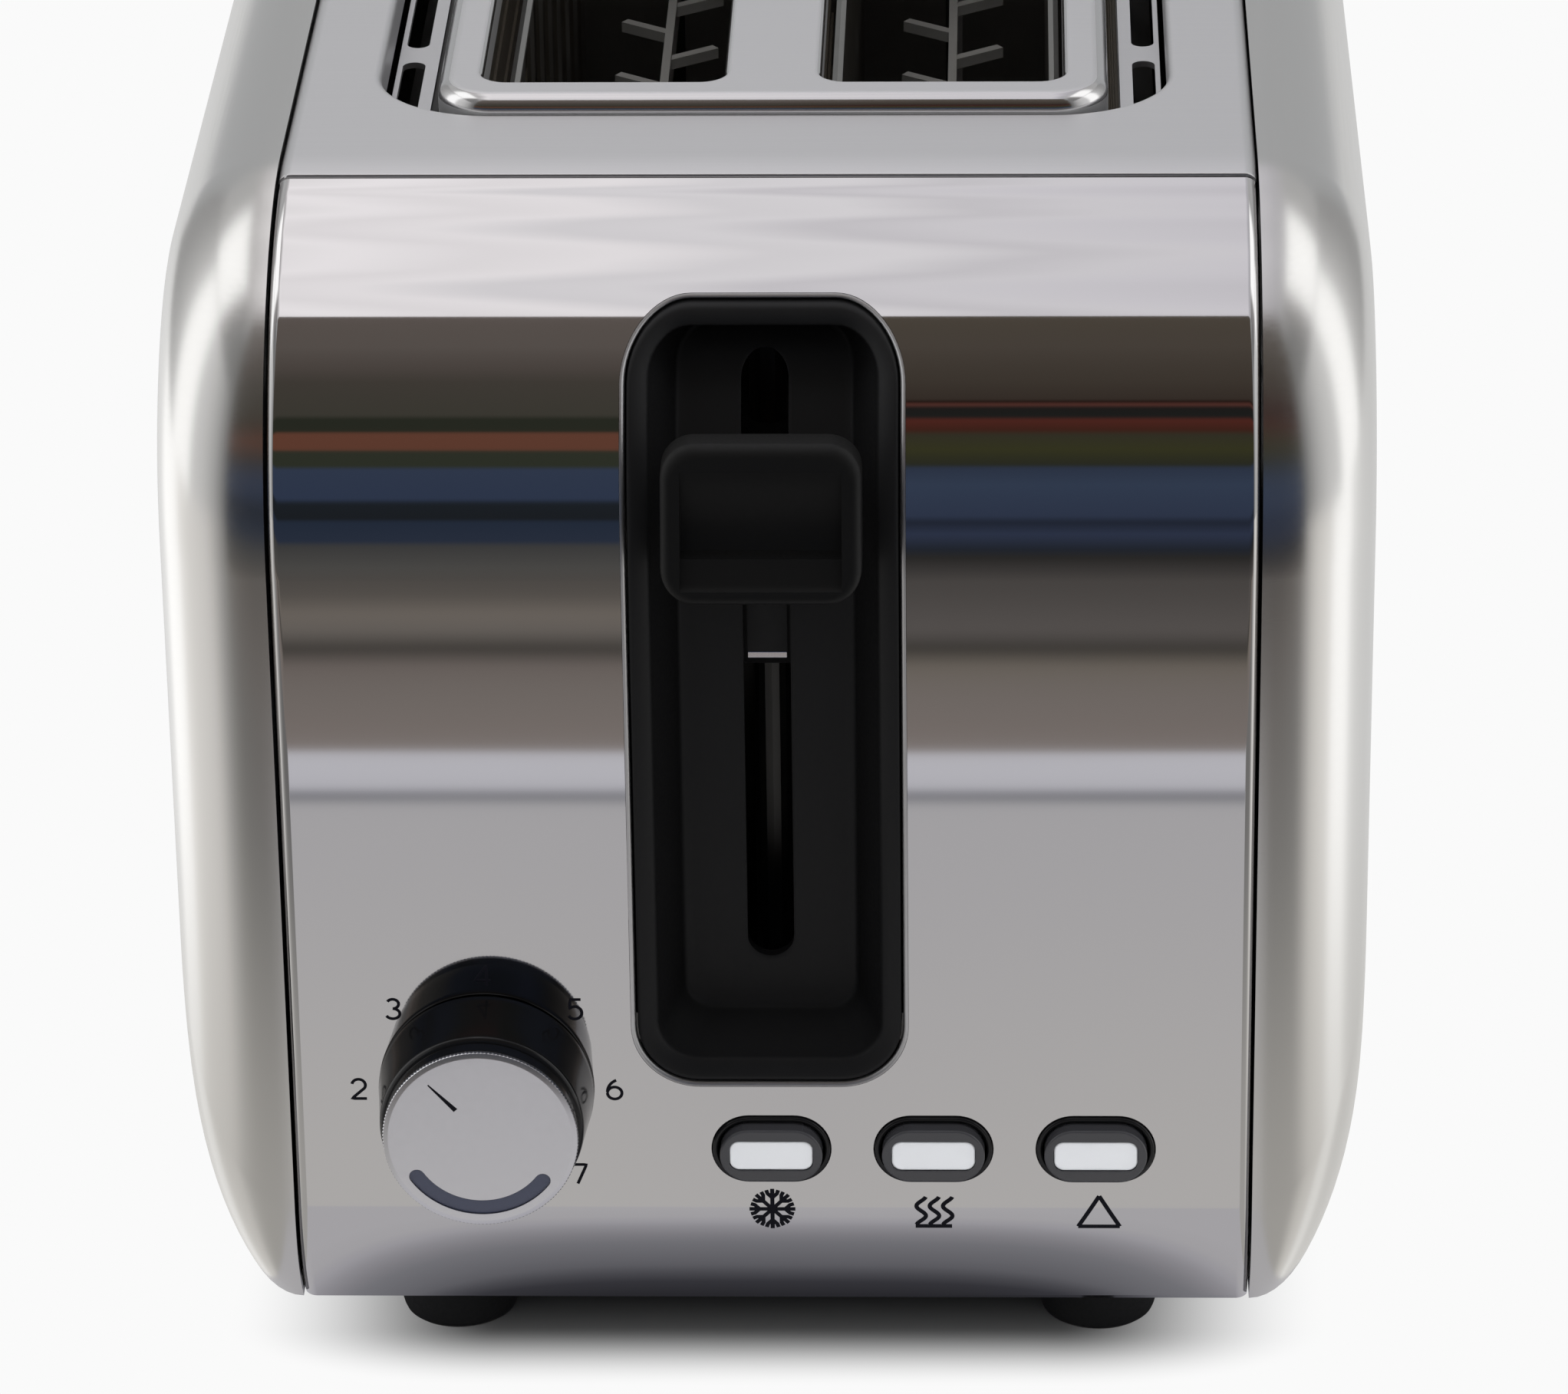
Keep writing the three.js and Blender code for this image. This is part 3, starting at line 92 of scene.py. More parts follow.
class Pick(Enum):
    """What a selection is made of in edit mode."""

    VERTS = "VERT"
    EDGES = "EDGE"


class Bench:
    """Modelling steps on one mesh at a time, as they are done by hand in edit mode."""

    @staticmethod
    def take(piece: bpy.types.Object) -> None:
        """Selects one object alone and makes it active, in object mode."""
        if bpy.context.object and bpy.context.object.mode != "OBJECT":
            bpy.ops.object.mode_set(mode="OBJECT")
        bpy.ops.object.select_all(action="DESELECT")
        piece.select_set(True)
        bpy.context.view_layer.objects.active = piece

    @staticmethod
    def rest() -> None:
        """Goes back to object mode with nothing selected."""
        if bpy.context.object and bpy.context.object.mode != "OBJECT":
            bpy.ops.object.mode_set(mode="OBJECT")
        bpy.ops.object.select_all(action="DESELECT")

    @staticmethod
    def named(name: str) -> bpy.types.Object:
        """Names the new active object and puts its place into its mesh."""
        piece = bpy.context.object
        piece.name = name
        piece.data.name = name
        Bench.take(piece)
        bpy.ops.object.transform_apply(location=True, rotation=True, scale=True)
        return piece

    @staticmethod
    def select(piece: bpy.types.Object, kind: Pick, test: Callable) -> None:
        """Selects in edit mode what passes a test.

        Args:
            piece: The mesh object.
            kind: Vertices or edges.
            test: Takes a bmesh vertex or edge and says whether it is wanted.
        """
        Bench.take(piece)
        bpy.ops.object.mode_set(mode="EDIT")
        bpy.ops.mesh.select_mode(type=kind.value)
        bpy.ops.mesh.select_all(action="DESELECT")
        mesh = bmesh.from_edit_mesh(piece.data)
        for item in mesh.verts if kind is Pick.VERTS else mesh.edges:
            if test(item):
                item.select_set(True)
        mesh.select_flush_mode()
        bmesh.update_edit_mesh(piece.data)

    @staticmethod
    def block(name: str, low: Sequence[float], high: Sequence[float]) -> bpy.types.Object:
        """Adds a block between two corners."""
        Bench.rest()
        centre = [(a + b) / 2 for a, b in zip(low, high)]
        bpy.ops.mesh.primitive_cube_add(size=1, location=centre)
        bpy.context.object.scale = [b - a for a, b in zip(low, high)]
        return Bench.named(name)

    @staticmethod
    def rod(name: str, start: Point, end: Point, radius: float, sides: int = 24) -> bpy.types.Object:
        """Adds a round bar between two points."""
        Bench.rest()
        a, b = Vector(start), Vector(end)
        turn = (b - a).to_track_quat("Z", "Y").to_euler()
        bpy.ops.mesh.primitive_cylinder_add(
            vertices=sides, radius=radius, depth=(b - a).length, location=(a + b) / 2, rotation=turn)
        return Bench.named(name)

    @staticmethod
    def outward(piece: bpy.types.Object) -> None:
        """Merges doubles and turns every face outwards."""
        Bench.select(piece, Pick.VERTS, lambda vert: True)
        bpy.ops.mesh.remove_doubles(threshold=MERGE)
        bpy.ops.mesh.normals_make_consistent(inside=False)
        Bench.rest()

    @staticmethod
    def apply(piece: bpy.types.Object, kind: str, **settings: object) -> None:
        """Adds one modifier with its settings and applies it."""
        Bench.take(piece)
        modifier = piece.modifiers.new(kind.title(), kind)
        for key, value in settings.items():
            setattr(modifier, key, value)
        bpy.ops.object.modifier_apply(modifier=modifier.name)

    @staticmethod
    def subtract(piece: bpy.types.Object, tools: Iterable[bpy.types.Object]) -> None:
        """Cuts tools out of a piece and throws the tools away."""
        for tool in tools:
            Bench.apply(piece, "BOOLEAN", operation="DIFFERENCE", object=tool, solver="EXACT")
            bpy.data.objects.remove(tool)

    @staticmethod
    def smooth(piece: bpy.types.Object, angle: float = 32 * DEGREE, weighted: bool = True) -> None:
        """Shades smooth, with large flat faces kept flat."""
        Bench.take(piece)
        bpy.ops.object.shade_smooth_by_angle(angle=angle)
        if weighted:
            Bench.apply(piece, "WEIGHTED_NORMAL", mode="FACE_AREA", weight=100, keep_sharp=True)
        Bench.rest()

    @staticmethod
    def loft(name: str, rings: Sequence[Ring], closed: bool = True) -> bpy.types.Object:
        """Bends a grid so that its rows lie on rings of points.

        Args:
            name: The new piece's name.
            rings: Rings with equal numbers of points, in order.
            closed: Whether each ring runs back to its first point.

        Returns:
            The new mesh object, open at its first and last rings.
        """
        Bench.rest()
        rows = [list(ring) + [ring[0]] if closed else list(ring) for ring in rings]
        bpy.ops.mesh.primitive_grid_add(
            x_subdivisions=len(rows[0]) - 1, y_subdivisions=len(rows) - 1, size=1)
        piece = Bench.named(name)
        points = [point for row in rows for point in row]
        for vert, point in zip(piece.data.vertices, points):
            vert.co = point
        Bench.outward(piece)
        return piece

    @staticmethod
    def prism(name: str, outline: Outline, start: float, end: float, along: str = "z") -> bpy.types.Object:
        """Draws an outline out along Y or Z into a closed solid.

        Args:
            name: The new piece's name.
            outline: (x, y) pairs for Z, or (x, z) pairs for Y.
            start: Where it starts along the axis.
            end: Where it ends.
            along: "y" or "z".

        Returns:
            The new mesh object.
        """
        if along == "z":
            rings = [[(a, b, level) for a, b in outline] for level in (start, end)]
        else:
            rings = [[(a, level, b) for a, b in outline] for level in (start, end)]
        piece = Bench.loft(name, rings)
        Bench.cap_ends(piece)
        return piece

    @staticmethod
    def join(first: bpy.types.Object, others: Iterable[bpy.types.Object]) -> bpy.types.Object:
        """Joins other pieces into the first."""
        Bench.take(first)
        for other in others:
            other.select_set(True)
        bpy.ops.object.join()
        Bench.rest()
        return first

    @staticmethod
    def copy(piece: bpy.types.Object) -> bpy.types.Object:
        """Duplicates a piece with its mesh."""
        Bench.take(piece)
        bpy.ops.object.duplicate()
        return bpy.context.object

    @staticmethod
    def take_normals(piece: bpy.types.Object, source: bpy.types.Object) -> None:
        """Gives a cut sheet the smooth normals of the sheet before its cuts, and removes that one."""
        Bench.apply(piece, "DATA_TRANSFER", object=source, use_loop_data=True,
                    data_types_loops={"CUSTOM_NORMAL"}, loop_mapping="POLYINTERP_NEAREST")
        bpy.data.objects.remove(source)

    @staticmethod
    def round_edges(piece: bpy.types.Object, width: float, segments: int) -> None:
        """Rounds every edge sharper than 40 degrees."""
        Bench.apply(piece, "BEVEL", width=width, segments=segments, limit_method="ANGLE",
                    angle_limit=40 * DEGREE, use_clamp_overlap=True, harden_normals=False)

    @staticmethod
    def cap_ends(piece: bpy.types.Object) -> None:
        """Closes every open rim with one face."""
        Bench.select(piece, Pick.EDGES, lambda edge: edge.is_boundary)
        bpy.ops.mesh.edge_face_add()
        Bench.outward(piece)

    @staticmethod
    def turned(name: str, profile: Outline, foot: Point, axis: Point, steps: int) -> bpy.types.Object:
        """Turns a profile round an axis, as on a lathe.

        Args:
            name: The new piece's name.
            profile: Pairs of radius and distance along the axis.
            foot: The point where the axis starts.
            axis: The axis as a unit vector, along Y or Z.
            steps: How many steps a full turn has.

        Returns:
            The new mesh object.
        """
        Bench.rest()
        across = Vector((1, 0, 0))
        points = [Vector(foot) + across * r + Vector(axis) * h for r, h in profile]
        bpy.ops.mesh.primitive_plane_add(size=MM, location=points[0])
        piece = Bench.named(name)
        Bench.select(piece, Pick.VERTS, lambda vert: True)
        bpy.ops.mesh.merge(type="CENTER")
        for before, after in zip(points, points[1:]):
            bpy.ops.mesh.extrude_region_move(TRANSFORM_OT_translate={"value": after - before})
        bpy.ops.mesh.select_all(action="SELECT")
        bpy.ops.mesh.spin(steps=steps, angle=math.tau, center=foot, axis=axis)
        Bench.outward(piece)
        return piece

    @staticmethod
    def tube(name: str, points: Sequence[Point], radius: float) -> bpy.types.Object:
        """Draws a round wire along points and makes it a mesh."""
        Bench.rest()
        bpy.ops.curve.primitive_nurbs_path_add()
        path = bpy.context.object
        path.data.splines.clear()
        spline = path.data.splines.new("POLY")
        spline.points.add(len(points) - 1)
        for place, point in zip(spline.points, points):
            place.co = (*point, 1)
        path.data.dimensions = "3D"
        path.data.bevel_depth = radius
        path.data.bevel_resolution = 3
        path.data.use_fill_caps = True
        path.location = (0, 0, 0)
        Bench.take(path)
        bpy.ops.object.convert(target="MESH")
        piece = Bench.named(name)
        Bench.smooth(piece, 50 * DEGREE, False)
        return piece


def sweep(first: float, last: float, steps: int) -> list[float]:
    """Gives evenly spaced values from the first to the last, both included."""
    return [first + (last - first) * i / steps for i in range(steps + 1)]


def shifted(outline: Outline, across: float, along: float) -> Outline:
    """Moves an outline."""
    return [(a + across, b + along) for a, b in outline]


def rounded(half_x: float, half_z: float, radius: float, steps: int = 12) -> Outline:
    """Gives a rounded rectangle about the origin, anticlockwise from its lower right corner."""
    radius = min(radius, half_x, half_z)
    points = []
    for quarter, (sx, sz) in enumerate(((1, -1), (1, 1), (-1, 1), (-1, -1))):
        start = (quarter - 1) * QUARTER
        for i in range(steps + 1):
            angle = start + QUARTER * i / steps
            points.append((sx * (half_x - radius) + radius * math.cos(angle),
                           sz * (half_z - radius) + radius * math.sin(angle)))
    return points


def long_outline(half_x: float, low: float, high: float, radius: float,
                 corner_steps: int = 10, side_steps: int = 40) -> Outline:
    """Gives a tall rounded outline as (x, z) pairs, with its long sides divided.

    Args:
        half_x: Half its width.
        low: Its lowest z.
        high: Its highest z.
        radius: Its corner radius.
        corner_steps: Steps per corner.
        side_steps: Steps per long side.

    Returns:
        Points, anticlockwise from the lower right corner's start.
    """
    radius = min(radius, half_x)
    points: Outline = []

    def arc(centre_x: float, centre_z: float, start: float) -> None:
        for i in range(corner_steps + 1):
            angle = (start + 90 * i / corner_steps) * DEGREE
            points.append((centre_x + radius * math.cos(angle), centre_z + radius * math.sin(angle)))

    def side(x: float, start: float, end: float) -> None:
        for i in range(1, side_steps):
            points.append((x, start + (end - start) * i / side_steps))

    arc(half_x - radius, low + radius, -90)
    side(half_x, low + radius, high - radius)
    arc(half_x - radius, high - radius, 0)
    arc(radius - half_x, high - radius, 90)
    side(-half_x, high - radius, low + radius)
    arc(radius - half_x, low + radius, 180)
    return points


@dataclass(frozen=True)
class BodyLine:
    """The outline of the body seen from the side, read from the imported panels."""

    front: float = corner("front_panel")[0].y
    back: float = corner("rear_panel")[1].y
    top: float = corner("top_panel")[1].z
    underside: float = corner("front_panel")[0].z
    seam: float = corner("right_side_casing")[0].x
    half_width: float = corner("right_side_casing")[1].x
    bend: float = 50 * MM
    tuck: float = 32 * MM
    bend_steps: int = 40
    tuck_steps: int = 16

    def depth(self, z: float, inward: float = 0.0) -> float:
        """Gives the Y of the front's outline at a height, moved inwards by a distance."""
        rise = z - (self.top - self.bend)
        if rise > 0:
            reach = self.bend - inward
            return self.front + self.bend - math.sqrt(max(reach ** 2 - rise ** 2, 0.0))
        drop = self.tuck - z
        if drop > 0:
            reach = self.tuck - inward
            return self.front + self.tuck - math.sqrt(max(reach ** 2 - drop ** 2, 0.0))
        return self.front + inward

    def profile(self, seam: float, inward: float = 0.0) -> Outline:
        """Gives (y, z) pairs from the bottom edge up to a seam at a Y, moved inwards by a distance."""
        reach = self.tuck - inward
        start = math.asin(min(1.0, (self.tuck - self.underside) / reach))
        points = [(self.front + self.tuck + reach * math.cos(angle), self.tuck + reach * math.sin(angle))
                  for angle in sweep(math.pi + start, math.pi, self.tuck_steps)]
        reach = self.bend - inward
        end = math.acos(max(-1.0, (seam - self.front - self.bend) / reach))
        y, z = self.front + self.bend, self.top - self.bend
        return points + [(y + reach * math.cos(angle), z + reach * math.sin(angle))
                         for angle in sweep(math.pi, end, self.bend_steps)]


BODY = BodyLine()


def add_node(tree: bpy.types.NodeTree, kind: str, links: dict | None = None,
             **settings: object) -> bpy.types.Node:
    """Adds a shader node.

    Args:
        tree: The node tree.
        kind: The node's type.
        links: Input name or number to the output socket that feeds it.
        settings: Node properties, or input values where no such property exists.

    Returns:
        The new node.
    """
    node = tree.nodes.new(kind)
    for key, value in settings.items():
        if hasattr(node, key):
            setattr(node, key, value)
        else:
            node.inputs[key.replace("_", " ")].default_value = value
    for key, socket in (links or {}).items():
        tree.links.new(socket, node.inputs[key])
    return node


def calc(tree: bpy.types.NodeTree, operation: str,
         *values: bpy.types.NodeSocket | float) -> bpy.types.NodeSocket:
    """Adds one maths node.

    Args:
        tree: The material's node tree.
        operation: The node's operation.
        values: Its inputs, as sockets or numbers.

    Returns:
        Its output.
    """
    node = tree.nodes.new("ShaderNodeMath")
    node.operation = operation
    for socket, value in zip(node.inputs, values):
        if isinstance(value, (int, float)):
            socket.default_value = value
        else:
            tree.links.new(value, socket)
    return node.outputs[0]


def blend(tree: bpy.types.NodeTree, share: bpy.types.NodeSocket, first: bpy.types.Node,
          second: bpy.types.Node) -> bpy.types.Node:
    """Mixes two shaders, by how much the second one counts."""
    return add_node(tree, "ShaderNodeMixShader", {0: share, 1: first.outputs[0], 2: second.outputs[0]})


@dataclass(frozen=True)
class Finish:
    """A surface finish: the base that every material here starts from."""

    name: str
    colour: str
    metallic: float = 0.0
    roughness: float = 0.5
    specular: float = 0.5

    def build(self) -> bpy.types.Material:
        """Makes the material, with its surface detail."""
        material = bpy.data.materials.new(self.name)
        material.use_nodes = True
        tree = material.node_tree
        shader = tree.nodes["Principled BSDF"]
        shader.inputs["Base Color"].default_value = linear(self.colour)
        shader.inputs["Metallic"].default_value = self.metallic
        shader.inputs["Roughness"].default_value = self.roughness
        shader.inputs["Specular IOR Level"].default_value = self.specular
        self.detail(tree, shader)
        return material

    def detail(self, tree: bpy.types.NodeTree, shader: bpy.types.Node) -> None:
        """Adds what the plain finish lacks; the base finish has none."""

    @staticmethod
    def noise(tree: bpy.types.NodeTree, scale: Sequence[float], detail: float) -> bpy.types.NodeSocket:
        """Gives noise over the surface, with its cycles per metre along each axis."""
        coordinates = add_node(tree, "ShaderNodeTexCoord")
        place = add_node(tree, "ShaderNodeMapping", {"Vector": coordinates.outputs["Object"]}, Scale=scale)
        noise = add_node(tree, "ShaderNodeTexNoise", {"Vector": place.outputs["Vector"]},
                         Scale=1.0, Detail=detail)
        return noise.outputs["Fac"]

    @staticmethod
    def bump(tree: bpy.types.NodeTree, shader: bpy.types.Node, height: bpy.types.NodeSocket,
             strength: float, distance: float) -> None:
        """Makes the surface uneven."""
        bump = add_node(tree, "ShaderNodeBump", {"Height": height}, Strength=strength, Distance=distance)
        tree.links.new(bump.outputs["Normal"], shader.inputs["Normal"])

    def gloss(self, tree: bpy.types.NodeTree, shader: bpy.types.Node, amount: bpy.types.NodeSocket,
              least: float, most: float) -> None:
        """Varies the roughness between two multiples of its value."""
        gloss = add_node(tree, "ShaderNodeMapRange", {"Value": amount},
                         To_Min=self.roughness * least, To_Max=self.roughness * most)
        tree.links.new(gloss.outputs["Result"], shader.inputs["Roughness"])


@dataclass(frozen=True)
class MirrorSteel(Finish):
    """Polished stainless sheet: mirror-like, with the slow waves that pressing leaves in it."""

    wave: float = 70 * MM
    stretch: float = 0.35
    swell: float = 0.05 * MM
    smear: Point = (9.0, 9.0, 30.0)

    def detail(self, tree: bpy.types.NodeTree, shader: bpy.types.Node) -> None:
        """Adds the waves as a faint bump, and a faint smear to the gloss."""
        cycles = 1 / self.wave
        waves = self.noise(tree, (cycles * self.stretch, cycles, cycles), 1.0)
        self.bump(tree, shader, waves, 1.0, self.swell)
        self.gloss(tree, shader, self.noise(tree, self.smear, 3.0), 0.8, 1.25)


@dataclass(frozen=True)
class BrushedSteel(Finish):
    """Stainless sheet brushed with a belt: fine lines along one way, which stretch the highlights."""

    grain: Point = (300.0, 300.0, 300.0)
    grit: float = 0.004 * MM

    def detail(self, tree: bpy.types.NodeTree, shader: bpy.types.Node) -> None:
        """Adds the grit lines to height and gloss, drawn coarser than the real ones."""
        lines = self.noise(tree, self.grain, 3.0)
        self.bump(tree, shader, lines, 0.6, self.grit)
        self.gloss(tree, shader, lines, 0.85, 1.2)


@dataclass(frozen=True)
class MouldedPlastic(Finish):
    """Injection-moulded plastic with a spark-eroded texture, which breaks up its highlights."""

    pebble: float = 0.6 * MM
    relief: float = 0.02 * MM

    def detail(self, tree: bpy.types.NodeTree, shader: bpy.types.Node) -> None:
        """Adds the fine pebble as bump and as a slight change of gloss."""
        cycles = 1 / self.pebble
        pebbles = self.noise(tree, (cycles, cycles, cycles), 2.0)
        self.bump(tree, shader, pebbles, 0.5, self.relief)
        self.gloss(tree, shader, pebbles, 0.85, 1.15)


class Finishes:
    """Every material of the toaster, made once."""

    def __init__(self) -> None:
        """Builds the materials."""
        self.casing = BrushedSteel("brushed_stainless_casing", "#c9c8c6", 1.0, 0.22,
                                   grain=(900.0, 30.0, 4000.0)).build()
        self.mirror = MirrorSteel("polished_stainless_panel", "#c8c7c7", 1.0, 0.045).build()
        self.satin = BrushedSteel("satin_stainless_top", "#cacacb", 1.0, 0.42,
                                  grain=(30.0, 3000.0, 3000.0)).build()
        self.rim = MirrorSteel("polished_rolled_rim", "#c8c7c7", 1.0, 0.14).build()
        # A cut edge of bare steel, made brighter than the other steel as a painted highlight.
        self.bright = MirrorSteel("cut_edge_painted_highlight", "#e0e0e2", 1.0, 0.12).build()
        self.zinc = BrushedSteel("zinc_plated_sheet", "#9b9a97", 1.0, 0.38).build()
        self.cap = BrushedSteel("spun_aluminium_cap", "#d2d2d6", 1.0, 0.3,
                                grain=(900.0, 900.0, 900.0)).build()
        self.copper = BrushedSteel("enamelled_copper", "#a4622f", 1.0, 0.35,
                                   grain=(300.0, 300.0, 3000.0)).build()
        # Dark steel as painted shade: it stands for the shade on the carriage behind the slit.
        self.painted_shade_steel = BrushedSteel("dark_steel_painted_shade", "#101010", 0.3, 0.6).build()
        self.black = MouldedPlastic("matt_black_abs", "#0e0e0f", specular=0.22).build()
        self.knob = MouldedPlastic("matt_black_knob", "#0a0a0a", specular=0.16).build()
        self.gloss_black = MouldedPlastic("gloss_black_abs", "#0f0f10", roughness=0.14, specular=0.28,
                                          relief=0.002 * MM).build()
        self.grey = MouldedPlastic("dark_grey_abs", "#353538", roughness=0.22, relief=0.004 * MM).build()
        self.lens = MouldedPlastic("milky_polycarbonate", "#dcdde0", roughness=0.25,
                                   relief=0.002 * MM).build()
        self.ink = MouldedPlastic("baked_black_ink", "#121218", specular=0.05, relief=0.001 * MM).build()
        self.blue_lacquer = MouldedPlastic("blue_black_lacquer", "#3a3e50", roughness=0.3,
                                           relief=0.001 * MM).build()
        self.mica = MouldedPlastic("mica_board", "#423c33", roughness=0.6).build()
        self.board = MouldedPlastic("green_circuit_board", "#27553a", relief=0.004 * MM).build()
        self.rubber = MouldedPlastic("black_rubber", "#141414", roughness=0.75, specular=0.3,
                                     relief=0.01 * MM).build()
        self.by_slot = {
            "casing_steel": self.casing, "polished_steel": self.mirror, "satin_steel": self.satin,
            "plated_steel": self.zinc, "black_plastic": self.black, "gloss_black": self.gloss_black,
            "grey_plastic": self.grey, "lens_white": self.lens, "mica": self.mica,
            "circuit_board": self.board, "copper_wire": self.copper, "rubber": self.rubber,
        }
        rack = BrushedSteel("bread_rack_steel", "#a3a19d", 0.6, 0.5).build()
        # The carriage bracket takes the dark steel as painted shade.
        self.by_node = {"carriage_bracket": self.painted_shade_steel, "bread_rack_left": rack, "bread_rack_right": rack}

    def dress_frame(self) -> None:
        """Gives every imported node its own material, or else the one of its slot."""
        slots = {part["node"]: part["material_slot"] for part in frame["record"]["subparts"]}
        for node, piece in frame["nodes"].items():
            piece.data.materials.clear()
            piece.data.materials.append(self.by_node.get(node) or self.by_slot[slots[node]])


@dataclass
class SubAssembly:
    """A group of pieces that ride on one body."""

    finishes: Finishes
    body: str = "chassis"
    made: list[str] = field(default_factory=list)

    def finish_piece(self, piece: bpy.types.Object, material: bpy.types.Material, slot: str,
                     *replaced: str, body: str | None = None) -> None:
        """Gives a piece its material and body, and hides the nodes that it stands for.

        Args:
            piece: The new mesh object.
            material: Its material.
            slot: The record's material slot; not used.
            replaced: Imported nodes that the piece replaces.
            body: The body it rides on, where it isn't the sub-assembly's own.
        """
        piece.data.materials.clear()
        piece.data.materials.append(material)
        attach(piece, body or self.body)
        if replaced:
            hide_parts(*replaced)
        self.made.append(piece.name)
        log.info("%s rides on %s", piece.name, body or self.body)


@dataclass
class Studio:
    """Camera, floor, cards and lights. The camera stands where the photograph's did.

    The cards glow and are seen in the polished steel only: they are painted reflections. Each colour is what
    the steel is to show at that place, so the cards shine more strongly by what the steel swallows.
    """

    eye: Point = (37.2 * MM, -1251.4 * MM, 631.1 * MM)
    look: Point = (-0.029238, 0.900095, -0.434712)
    right: Point = (0.999572, 0.026493, -0.012373)
    lens: float = 175.15
    sensor: float = 36.0
    steel_reflects: float = 0.578
    backdrop: str = "#fafafa"

    shadow_core: float = 45 * MM
    shadow_start: float = 17 * MM
    shadow_fade: float = 19 * MM

    fan_start: float = 18 * MM
    fan_half: float = 80 * MM
    fan_splay: float = 0.1
    even_from: float = 60 * MM
    even_to: float = 240 * MM
    even_share: float = 0.6

    flag_distance: float = 228 * MM
    flag_top: float = 0.934
    ceiling: float = 1.26
    ceiling_front: float = -0.53
    wall: float = 1.2
    far: float = 1.6
    thick: float = 10 * MM

    def build(self) -> None:
        """Makes everything in the studio."""
        self.camera()
        self.world()
        self.floor()
        self.dark_painted_reflections()
        self.overhead_card()
        self.floor_cards()
        self.side_cards()
        self.lamps()
        bpy.context.scene.view_settings.view_transform = "Standard"

    def camera(self) -> None:
        """Sets the camera."""
        data = bpy.data.cameras.new("camera")
        data.lens = self.lens
        data.sensor_width = self.sensor
        data.clip_start = 0.05
        data.clip_end = 50
        camera = bpy.data.objects.new("camera", data)
        bpy.context.collection.objects.link(camera)
        look, right = Vector(self.look), Vector(self.right)
        up = right.cross(look)
        camera.matrix_world = Matrix((
            (right.x, up.x, -look.x, self.eye[0]),
            (right.y, up.y, -look.y, self.eye[1]),
            (right.z, up.z, -look.z, self.eye[2]),
            (0, 0, 0, 1)))
        bpy.context.scene.camera = camera

    def world(self) -> None:
        """A pale even surround: near white to the camera, softer as light."""
        world = bpy.data.worlds.new("surround")
        bpy.context.scene.world = world
        world.use_nodes = True
        tree = world.node_tree
        tree.nodes.clear()
        path = add_node(tree, "ShaderNodeLightPath")
        seen = add_node(tree, "ShaderNodeBackground", Color=linear(self.backdrop), Strength=1.0)
        light = add_node(tree, "ShaderNodeBackground", Color=linear("#f4f6f8"), Strength=0.55)
        mix = blend(tree, path.outputs["Is Camera Ray"], light, seen)
        add_node(tree, "ShaderNodeOutputWorld", {"Surface": mix.outputs[0]})

    def floor(self) -> None:
        """A wide pale floor with the toaster's shadow deepened by paint near it, and a painted reflection
        that glows for the polished steel.
        """
        Bench.rest()
        bpy.ops.mesh.primitive_plane_add(size=12, location=(0, 0, 0))
        floor = Bench.named("studio_floor")
        material = bpy.data.materials.new("painted_floor")
        material.use_nodes = True
        tree = material.node_tree
        tree.nodes.clear()
        path = add_node(tree, "ShaderNodeLightPath")
        paint = add_node(tree, "ShaderNodeBsdfDiffuse", Color=linear("#e8e8e8"))
        coordinates = add_node(tree, "ShaderNodeTexCoord")
        split = add_node(tree, "ShaderNodeSeparateXYZ", {0: coordinates.outputs["Object"]})
        wide = calc(tree, "ABSOLUTE", split.outputs["X"])
        lifted = self.shadow(tree, wide, split.outputs["Y"])
        painted_reflection = self.painted_floor_reflection(tree, split.outputs["X"], wide, split.outputs["Y"])
        seen = blend(tree, path.outputs["Is Glossy Ray"], paint, painted_reflection)
        mix = blend(tree, path.outputs["Is Camera Ray"], seen, lifted)
        # From below the floor is clear, so that the underside can be looked at.
        side = add_node(tree, "ShaderNodeNewGeometry")
        clear = add_node(tree, "ShaderNodeBsdfTransparent")
        one_sided = blend(tree, side.outputs["Backfacing"], mix, clear)
        add_node(tree, "ShaderNodeOutputMaterial", {"Surface": one_sided.outputs[0]})
        floor.data.materials.append(material)

    def shadow(self, tree: bpy.types.NodeTree, wide: bpy.types.NodeSocket,
               along: bpy.types.NodeSocket) -> bpy.types.Node:
        """Gives the floor as the camera sees it: a painted shadow of darker paint near the body on top of its
        real shadow, lost in the backdrop further out.
        """
        past = calc(tree, "MAXIMUM", calc(tree, "SUBTRACT", wide, self.shadow_core), 0.0)
        aside = calc(tree, "DIVIDE", past, self.shadow_core)
        before = calc(tree, "SUBTRACT", BODY.front + self.shadow_start, along)
        behind = calc(tree, "SUBTRACT", along, BODY.back - self.shadow_start)
        outside = calc(tree, "MAXIMUM", calc(tree, "MAXIMUM", before, behind), 0.0)
        beyond = calc(tree, "DIVIDE", outside, self.shadow_fade)
        fade = add_node(tree, "ShaderNodeMapRange", {"Value": self.length(tree, aside, beyond)},
                        interpolation_type="SMOOTHSTEP")
        # Painted shadow: a darker paint than the floor's, under and near the body.
        shade = add_node(tree, "ShaderNodeBsdfDiffuse", Color=linear("#787878"))
        open_floor = add_node(tree, "ShaderNodeEmission", Color=linear(self.backdrop))
        return blend(tree, fade.outputs["Result"], shade, open_floor)

